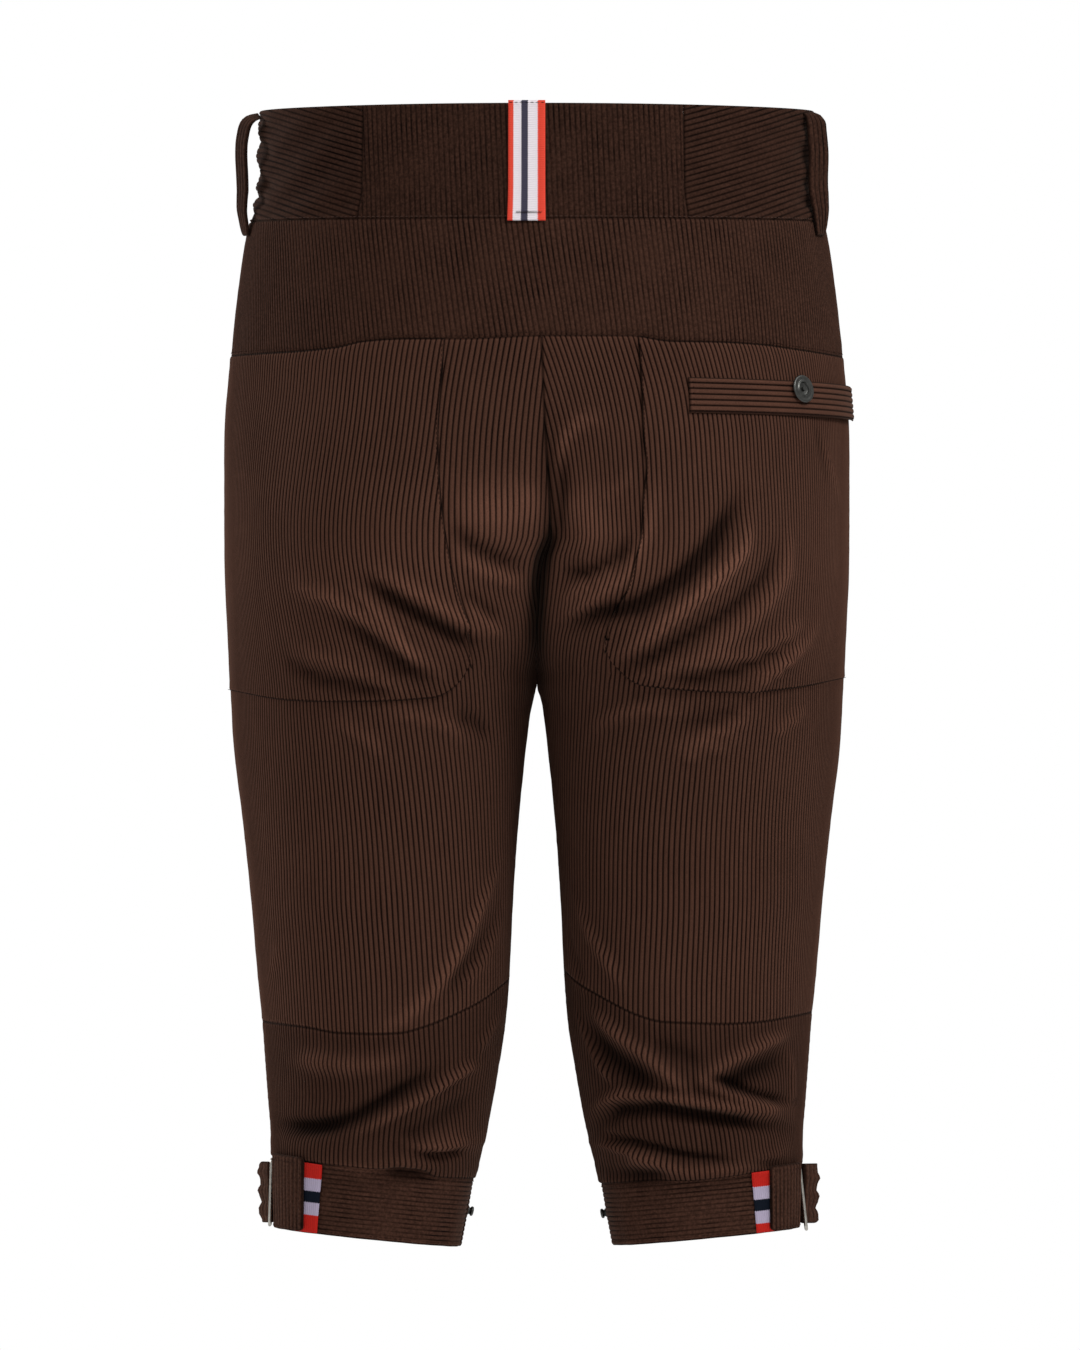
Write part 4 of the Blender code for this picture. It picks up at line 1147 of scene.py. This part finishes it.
# The shares of its two edges, the fall of its back edge, then how far down, lift and how much more its
# front stands out
LOOPS = {
    "belt_loop_l": (
        (-0.472, -0.440),
        4.0,
        (
            (0, 0, 1), (0.8, 3, 2), (2.6, 6, 3.2), (6, 8.2, 4), (11, 9.3, 4.6), (20, 10, 4.8), (40, 9.6, 4.8),
            (55, 8.6, 4.6), (66, 6.2, 4.2), (75, 2.6, 3), (82, 0.9, 1),
        ),
    ),
    "belt_loop_r": (
        (0.398, 0.434),
        1.0,
        (
            (0, 0.2, 2), (2, 1.6, 5), (8, 3, 7.6), (31, 3.6, 7.8), (53, 3.4, 7.6), (65, 2.4, 6), (75, 1.2, 3),
            (82, 0.9, 0),
        ),
    ),
}
LOOP_TOP, LOOP_FOOT = -1.0, -83.0


def loop(name, edges, fall, course):
    def forward(share):
        return np.abs(share - min(edges, key=abs)) / abs(edges[1] - edges[0])

    def head(share):
        return LOOP_TOP - fall * (1 - forward(share))

    def tilted(share, z):
        high = head(share)
        lift, more = follow(course, (high - z) * (LOOP_TOP - LOOP_FOOT) / (high - LOOP_FOOT))
        return 1.6 + lift + more * forward(share) + 0.3 * np.sin(z / 6)

    cut = strip(
        edges, head, on_level(LOOP_FOOT), tilted, thick=BAND_THICK, pitch=3.3, rib=0.6, upright=True, step=2.0
    )
    sheet_of(f"{name}_cloth", cut, BAND_BROWN, name)


for name, told in LOOPS.items():
    loop(name, *told)

RED = (0.88, 0.078, 0.046)


RIBBON_PITCH = 4.0
RIBBON_TOP, RIBBON_FOOT, RIBBON_LIFT = 4.4, -75.3, 2.4


def ribbon(name, red, white, navy, stops, wide):
    """Ribbed woven ribbon. Its stripes change where stops says, as a share of its width in mm."""
    material, shader, f = finished(name, Roughness=0.7, Specular_IOR_Level=0.08)
    u, v, _ = f.split(f.grain())
    thread = (v * 4.3).sum("SINE", v * 4.3)
    across_it = u * (RIBBON_PITCH / wide) + thread * (0.26 / wide)
    stops = list(zip((0, *stops), (red, white, navy, white, red)))
    striped = f.node("ShaderNodeValToRGB", {"ramp": "CONSTANT", "stops": stops}, {0: across_it}, "Color")
    fleck = f.noise(f.place(), 3000, 1)
    colour = f.scaled(striped, 0.8 + thread * 0.07 + fleck * 0.34)
    return joined(material, shader, Base_Color=colour, Normal=f.bumped(thread * 0.5 + fleck * 0.5, 0.0003))


WHITE, NAVY = (0.95, 0.87, 0.92), (0.062, 0.056, 0.088)
STRIPES = ribbon("striped ribbon", RED, WHITE, NAVY, (0.164, 0.397, 0.582, 0.811), 24.4)
ribbon_share = [float(np.sign(x) * share_at(np.array(abs(x)), np.array(-40.0))) for x in (-18.8, 5.6)]
cut = strip(
    ribbon_share, on_level(RIBBON_TOP), on_level(RIBBON_FOOT), RIBBON_LIFT, pitch=RIBBON_PITCH, rib=0.0,
    thick=1.0, upright=True, step=2.0,
)
sheet_of(
    "striped_belt_ribbon", cut, STRIPES, "belt_ribbon"
)


# Cuffs
# A doubled band round each leg with its wales lengthways. A tab on it is drawn through a thin plated
# buckle at the outer side and on to a strap, over a folded ribbon, and a stud closes the inner side.
CUFF_WALE = 3.1
CUFF_COLS = 28  # the cuff's pieces are placed by columns round it, and column 14 is the outer side
CUFF_BAG = 0.8  # how far the band's upper edge stands in under the cloth
CUFF_THICK = 2.0
CUFF_RIBBON_LIFT = 1.7
TAB_ROUND = 4.0  # radius of its free corners
TAB_LIFT = 4.3
TAB_WIDE = 34.0
TAB_INSET = 0.0052  # of its stitching from its free end, as a share of the way round
RIBBON_SKEW = 0.007  # how far round, as a share, its foot stands from its top
RIBBON_COLS, TAB_COLS = (9.08, 10.5), (10.0, 12.3)
STRAP = (  # column and lift of the strap, which bows out through the buckle
    (13.75, 0.5), (14.0, 2.6), (14.3, 5.4), (14.7, 7.6), (15.2, 8.0), (15.8, 6.2), (16.4, 3.4), (17.1, 1.1),
    (18, 0.5), (19, 0.5), (20, 0.5), (21, 0.5), (22, 0.5), (22.6, 0.5),
)
BUCKLE_COL = 13.55
BUCKLE_LEAN = {-1: 0.06, 1: 0.14}  # how much further out its foot stands for each mm of its height
BUCKLE_SIZE = (20.0, 43.0)  # between the middles of its bars
BUCKLE_BAR, BUCKLE_TURN, BUCKLE_LIFT = 2.3, 2.5, 1.6  # thickness, radius of its corners, place out of the leg
BUCKLE_TURNS = 8  # points at each corner
STUD = (
    (0, 0), (2.6, 0), (2.9, 0.4), (2.9, 1.0), (2.3, 1.4), (2.2, 1.7), (2.4, 2.2), (3.0, 2.5), (3.25, 3.0),
    (3.15, 3.7), (2.7, 4.15), (2.0, 4.3), (0, 4.4),
)
STUD_COL, STUD_Z = 27.35, 0.485
CUFF_RED, CUFF_WHITE, CUFF_NAVY = (0.53, 0.018, 0.012), (0.46, 0.40, 0.53), (0.004, 0.007, 0.014)
CUFF_STRIPES = ribbon(
    "folded cuff ribbon", CUFF_RED, CUFF_WHITE, CUFF_NAVY, (0.217, 0.406, 0.572, 0.754), 45.5
)
SILVER = mottled(
    "antique silver plate", (0.3, 0.28, 0.25), (0.78, 0.75, 0.68), 260, 3, (1900, 0.22, 0.2), Metallic=1.0
)


def height_of(share, line):
    """The height at which each share meets a line that is given by x."""
    z = np.broadcast_to(-700.0, np.shape(share))
    for _ in range(6):
        z = line(np.sign(share) * bare(np.abs(share), z)[0][..., 0])
    return z


def level(side, part, down=0, free_end=0.0, per_mm=1.0):
    """The height at a share, part of the way down the cuff, rounded down or up by TAB_ROUND at a free end."""

    def found(share):
        into = np.clip(1 - np.abs(share - free_end) / per_mm / TAB_ROUND, 0, 1)
        share = np.where(np.abs(share) < 1e-6, side * 1e-6, share)
        high, low = (height_of(share, cuff_edge(side, n)) for n in (0, 1))
        return high + (low - high) * part - down * TAB_ROUND * (1 - np.sqrt(1 - into**2))

    return found


def tucked(side):
    """The band's upper edge stands under the cloth above."""

    def lift(share, z):
        high, low = level(side, 0)(share), level(side, 1)(share)
        wave = 0.35 * np.sin(share * 61 + side) + 0.25 * np.sin(share * 137)
        under = CUFF_BAG * np.clip(1 - (high - z) / (high - low), 0, 2) + 0.7 * np.clip(z - high, 0, 3)
        return wave * np.clip((high - z) / 20, 0, 1) - under

    return lift


def bowed(side):
    """The strap stands out to pass through the buckle, in waves."""

    def lift(share, z):
        out = follow(STRAP, np.abs(share) * CUFF_COLS)[0]
        wave = np.sin(z / 2.05 + side) + 0.3 * np.sin(z / 0.9 + 2 * side)
        return 2.2 + out * (1.17 + 0.17 * side) + 0.14 * out * wave

    return lift


def buckle(side, mark):
    """A closed loop of wire round the strap, with rounded corners."""
    share = side * BUCKLE_COL / CUFF_COLS
    heights = [float(level(side, part)(np.array(share))) for part in (0, 0.5, 1)]
    high, middle, low = (skin(share, z)[0] for z in heights)
    up = (high - low) / np.linalg.norm(high - low)
    name = f"cuff_buckle_wire_{mark}"
    wire = bpy.data.curves.new(name, "CURVE")
    wire.dimensions = "3D"
    wire.bevel_depth, wire.bevel_resolution = BUCKLE_BAR / 2 * MM, 4
    line = wire.splines.new("POLY")
    line.points.add(4 * BUCKLE_TURNS - 1)
    line.use_cyclic_u = True
    straight = np.array(BUCKLE_SIZE) / 2 - BUCKLE_TURN
    for n, point in enumerate(line.points):
        angle = np.pi / 2 * (n // BUCKLE_TURNS + n % BUCKLE_TURNS / (BUCKLE_TURNS - 1))
        corner_angle = np.pi / 2 * (n // BUCKLE_TURNS + 0.5)
        corner = np.sign([np.cos(corner_angle), np.sin(corner_angle)])
        ahead, rise = corner * straight + BUCKLE_TURN * np.array([np.cos(angle), np.sin(angle)])
        out = side * (BUCKLE_LIFT - BUCKLE_LEAN[side] * rise)
        point.co = (*((middle + np.array([out, ahead, 0]) + up * rise) * MM), 1)
    wire.materials.append(SILVER)
    piece(name, wire, f"cuff_buckle_{mark}")


for side, mark in SIDES:

    def cols(first, last, side=side):
        return side * first / CUFF_COLS, side * last / CUFF_COLS

    cut = strip(
        cols(0.001, CUFF_COLS - 0.001), level(side, -0.06), level(side, 1), tucked(side), pitch=CUFF_WALE,
        rib=0.45, thick=CUFF_THICK, step=4.5,
    )
    on = [f"leg_front_{mark}", f"lower_back_cloth_{mark}"]
    sheet_of(f"cuff_band_cloth_{mark}", cut, CUFF_BROWN, f"cuff_band_{mark}")

    cut = strip(
        cols(*RIBBON_COLS), level(side, 0.005), level(side, 0.985), CUFF_RIBBON_LIFT, pitch=RIBBON_PITCH,
        rib=0.0, thick=1.2, step=1.6, skew=side * RIBBON_SKEW,
    )
    name, node = f"folded_cuff_ribbon_{mark}", f"cuff_ribbon_{mark}"
    sheet_of(name, cut, CUFF_STRIPES, node)

    ends = cols(*TAB_COLS)
    corner = {"free_end": ends[0], "per_mm": abs(ends[1] - ends[0]) / TAB_WIDE}
    cut = strip(
        ends, level(side, -0.07, 1, **corner), level(side, 0.975, -1, **corner), TAB_LIFT, pitch=3.4, rib=0.7,
        thick=2.3, upright=True, step=2.4,
    )
    sheet_of(f"cuff_tab_cloth_{mark}", cut, CUFF_BROWN, f"cuff_tab_{mark}")

    cut = strip(
        cols(STRAP[0][0], STRAP[-1][0]), level(side, 0.03 - 0.05 * side), level(side, 0.93), bowed(side),
        rib=0.6, thick=CUFF_THICK, upright=True, step=2.0,
    )
    sheet_of(f"cuff_strap_cloth_{mark}", cut, CUFF_BROWN, f"cuff_strap_{mark}")

    buckle(side, mark)

    share = side * STUD_COL / CUFF_COLS
    centre, way = skin(share, float(level(side, STUD_Z)(np.array(share))))
    turned(f"cuff_stud_metal_{mark}", STUD, centre + way * 0.35, way, f"cuff_stud_{mark}", steps=28)


# Stitching
# Rows of lockstitch in brown thread beside the seams and along the edges that are sewn down, darker on the
# welt and the ribbon.
STITCH, STITCH_GAP, STITCH_WIDE = 2.5, 0.8, 0.42
THREAD_TONES = {
    "brown thread": (0.03, 0.014, 0.01),
    "dark thread": (0.012, 0.006, 0.0045),
    "pale thread": (0.085, 0.05, 0.04),
}
THREADS = {
    name: mottled(
        name, np.array(tone) * 0.7, np.array(tone) * 1.25, 3500, 1, Roughness=0.85, Specular_IOR_Level=0.03
    )
    for name, tone in THREAD_TONES.items()
}

bead = bmesh.new()
bmesh.ops.create_uvsphere(bead, u_segments=6, v_segments=4, radius=0.5)
BEAD = bpy.data.meshes.new("stitch")
bead.to_mesh(BEAD)
bead.free()


def run(share, z, lift):
    """A line over the garment, as places and ways out."""
    share, z = np.broadcast_arrays(np.asarray(share, float), np.asarray(z, float))
    places, way = skin(share, z)
    return leaned(places + way * lift), way


def sewn(name, runs, thread="brown thread", joins=False):
    """Stitches down each run at an even gauge, or one between each place and the next."""
    made = bmesh.new()
    for places, way in runs:
        far = np.concatenate([[0], np.cumsum(np.linalg.norm(np.diff(places, axis=0), axis=1))])
        if joins:
            starts, ends = far[:-1], far[1:]
        else:
            count = max(int(far[-1] / (STITCH + STITCH_GAP)), 1)
            starts = (np.arange(count) + 0.5) * far[-1] / count - STITCH / 2
            ends = starts + STITCH
        first, last, normal = (
            np.stack([np.interp(at, far, line[:, n]) for n in range(3)], -1)
            for at, line in ((starts, places), (ends, places), ((starts + ends) / 2, way))
        )
        for a, b, up in zip(first, last, normal):
            along = Vector(b - a)
            sideways = Vector(up).cross(along).normalized()
            upwards = sideways.cross(along).normalized()
            turn = Matrix((along, sideways * STITCH_WIDE, upwards * STITCH_WIDE)).transposed()
            stitch = BEAD.copy()
            stitch.transform(Matrix.Translation(Vector((a + b) / 2) * MM) @ (turn * MM).to_4x4())
            made.from_mesh(stitch)
            bpy.data.meshes.remove(stitch)
    bmesh.ops.recalc_face_normals(made, faces=made.faces[:])
    piece(name, meshed(name, made, THREADS[thread]))


BEHIND = np.linspace(-0.495, 0.495, 300)
yoke_x = np.sign(BEHIND) * bare(np.abs(BEHIND), np.full(BEHIND.shape, -155.0))[0][:, 0]
sewn("yoke_stitching", [run(BEHIND, yoke_seam(yoke_x) + 1.9, 0.55)])
sewn("waistband_stitching", [run(np.linspace(-1, 0.999, 500), BAND_SEAM + 1.2, 0.5)], "pale thread")
EDGE_Z, EDGE_IN = np.linspace(-2, -76, 40), 0.0045
beside = (EDGE_IN - BACK_ENDS[0], BACK_ENDS[1] - EDGE_IN)
sewn("waistband_seam_stitching", [run(share, EDGE_Z, 0.45) for share in beside])
for side, mark in SIDES:
    corner = follow(PATCH_INNER[side], -372.0)[0]
    past = corner + PATCH_ROUND
    x = np.concatenate([[corner + 1.2], np.linspace(corner + 1.7, past, 20), np.linspace(past + 4, 202, 60)])
    z = patch_foot(side)(x) + 1.4
    down = np.linspace(-156, z[0], 90)
    inner = share_of(np.abs(patch_inner(side, down)) + 1.3, down)
    lines = ((inner, down), (share_at(x, z), z))
    runs = [run(side * share, at, PATCH_LIFT + 1.0) for share, at in lines]
    sewn(f"seat_patch_stitching_{mark}", runs, "dark thread")

    around = np.linspace(0.01, 0.99, 200)
    tab = side * (np.linspace(*TAB_COLS, 14)[:-1] / CUFF_COLS + TAB_INSET)
    (high, tab_high), (low, tab_low) = (
        [height_of(share, cuff_edge(side, n)) for share in (side * around, tab)] for n in (0, 1)
    )
    tab_high, tab_low = tab_high - 0.6, tab_low + 3.2
    tab_end = np.linspace(tab_high[0] - 1.5, tab_low[0] + 1.5, 16)
    runs = [run(side * around, high - 2.6, 0.1), run(side * around, low + 2.4, 0.5)]
    for share, z in ((tab, tab_high), (tab, tab_low), (tab[0], tab_end)):
        runs.append(run(share, z, TAB_LIFT + 0.75))
    sewn(f"cuff_stitching_{mark}", runs)

welt_line = np.linspace(welt_start + 0.004, SIDE - 0.004, 60)
end_z = np.linspace(WELT_UPPER[0] - 1.5, WELT_LOWER[0] + 1.5, 12)
runs = [
    run(welt_line, upper(welt_line) - 3.6, PATCH_LIFT + 2.4),
    run(welt_line, lower(welt_line) + 1.4, PATCH_LIFT + 2.4),
    run(welt_start + 0.005, end_z, PATCH_LIFT + 2.6),
]
sewn("rear_pocket_stitching", runs, "dark thread")
zig = np.arange(22)
zig_share = np.linspace(ribbon_share[0] + 0.008, ribbon_share[1] - 0.003, zig.size)
zig_z = RIBBON_FOOT + 4.7 + (zig % 2) * 1.5
sewn("ribbon_zigzag", [run(zig_share, zig_z, RIBBON_LIFT + 0.55)], "dark thread", joins=True)
fold = run(np.linspace(*ribbon_share, 14), RIBBON_TOP - 1.5, RIBBON_LIFT + 0.35)
sewn("ribbon_edge_stitching", [fold], "dark thread")


# Floor, light and camera
# A pale floor below the hems, even light from the sky, a lamp to the upper right of the seat with softer
# ones beside and in front, one behind to the left, and a level camera far off.
FLOOR = -0.9
made = bmesh.new()
bmesh.ops.create_circle(made, cap_ends=True, segments=96, radius=1.2)
bmesh.ops.translate(made, verts=made.verts[:], vec=(0, 0, FLOOR))
PALE = mottled("floor", (0.86, 0.86, 0.86), (0.9, 0.9, 0.9), 40, 3, Roughness=0.9, Specular_IOR_Level=0.1)
linked("floor", meshed("floor", made, PALE))

world = bpy.data.worlds.new("studio")
bpy.context.scene.world = world
world.use_nodes = True
f = Finish(world.node_tree)
seen = f.node("ShaderNodeLightPath", result="Is Camera Ray")
sky = world.node_tree.nodes["Background"]
sky.inputs["Color"].default_value = (1, 1, 1, 1)
world.node_tree.links.new((0.4 + seen * 0.6).output, sky.inputs["Strength"])

AIM = Vector((0, 0, -0.38))
LIGHTS = (  # name, place, size, watts
    ("key", (1.6, -2.0, 2.0), 1.0, 49),
    ("rim", (-2.6, 1.2, 0.4), 1.2, 45),
    ("side", (2.4, -0.4, 2.0), 1.0, 16),
    ("front", (0, -3.2, 0.0), 1.6, 6),
)
for name, place, size, watts in LIGHTS:
    lamp = bpy.data.lights.new(name, "AREA")
    lamp.shape, lamp.size, lamp.energy = "DISK", size, watts
    light = linked(name, lamp)
    light.location = place
    light.rotation_euler = (AIM - Vector(place)).to_track_quat("-Z", "Y").to_euler()

DISTANCE, VIEW_HEIGHT = 12.0, 0.896  # of the camera, and of what it takes in at the garment's middle
lens = bpy.data.cameras.new("camera")
lens.sensor_width = 36
lens.lens = 36 * DISTANCE / VIEW_HEIGHT
lens.clip_end = 60
camera = linked("camera", lens)
camera.location = (0.0021, -DISTANCE, -0.3735)
camera.rotation_euler = (np.pi / 2, 0, 0)
bpy.context.scene.camera = camera
bpy.context.scene.view_settings.view_transform = "Standard"
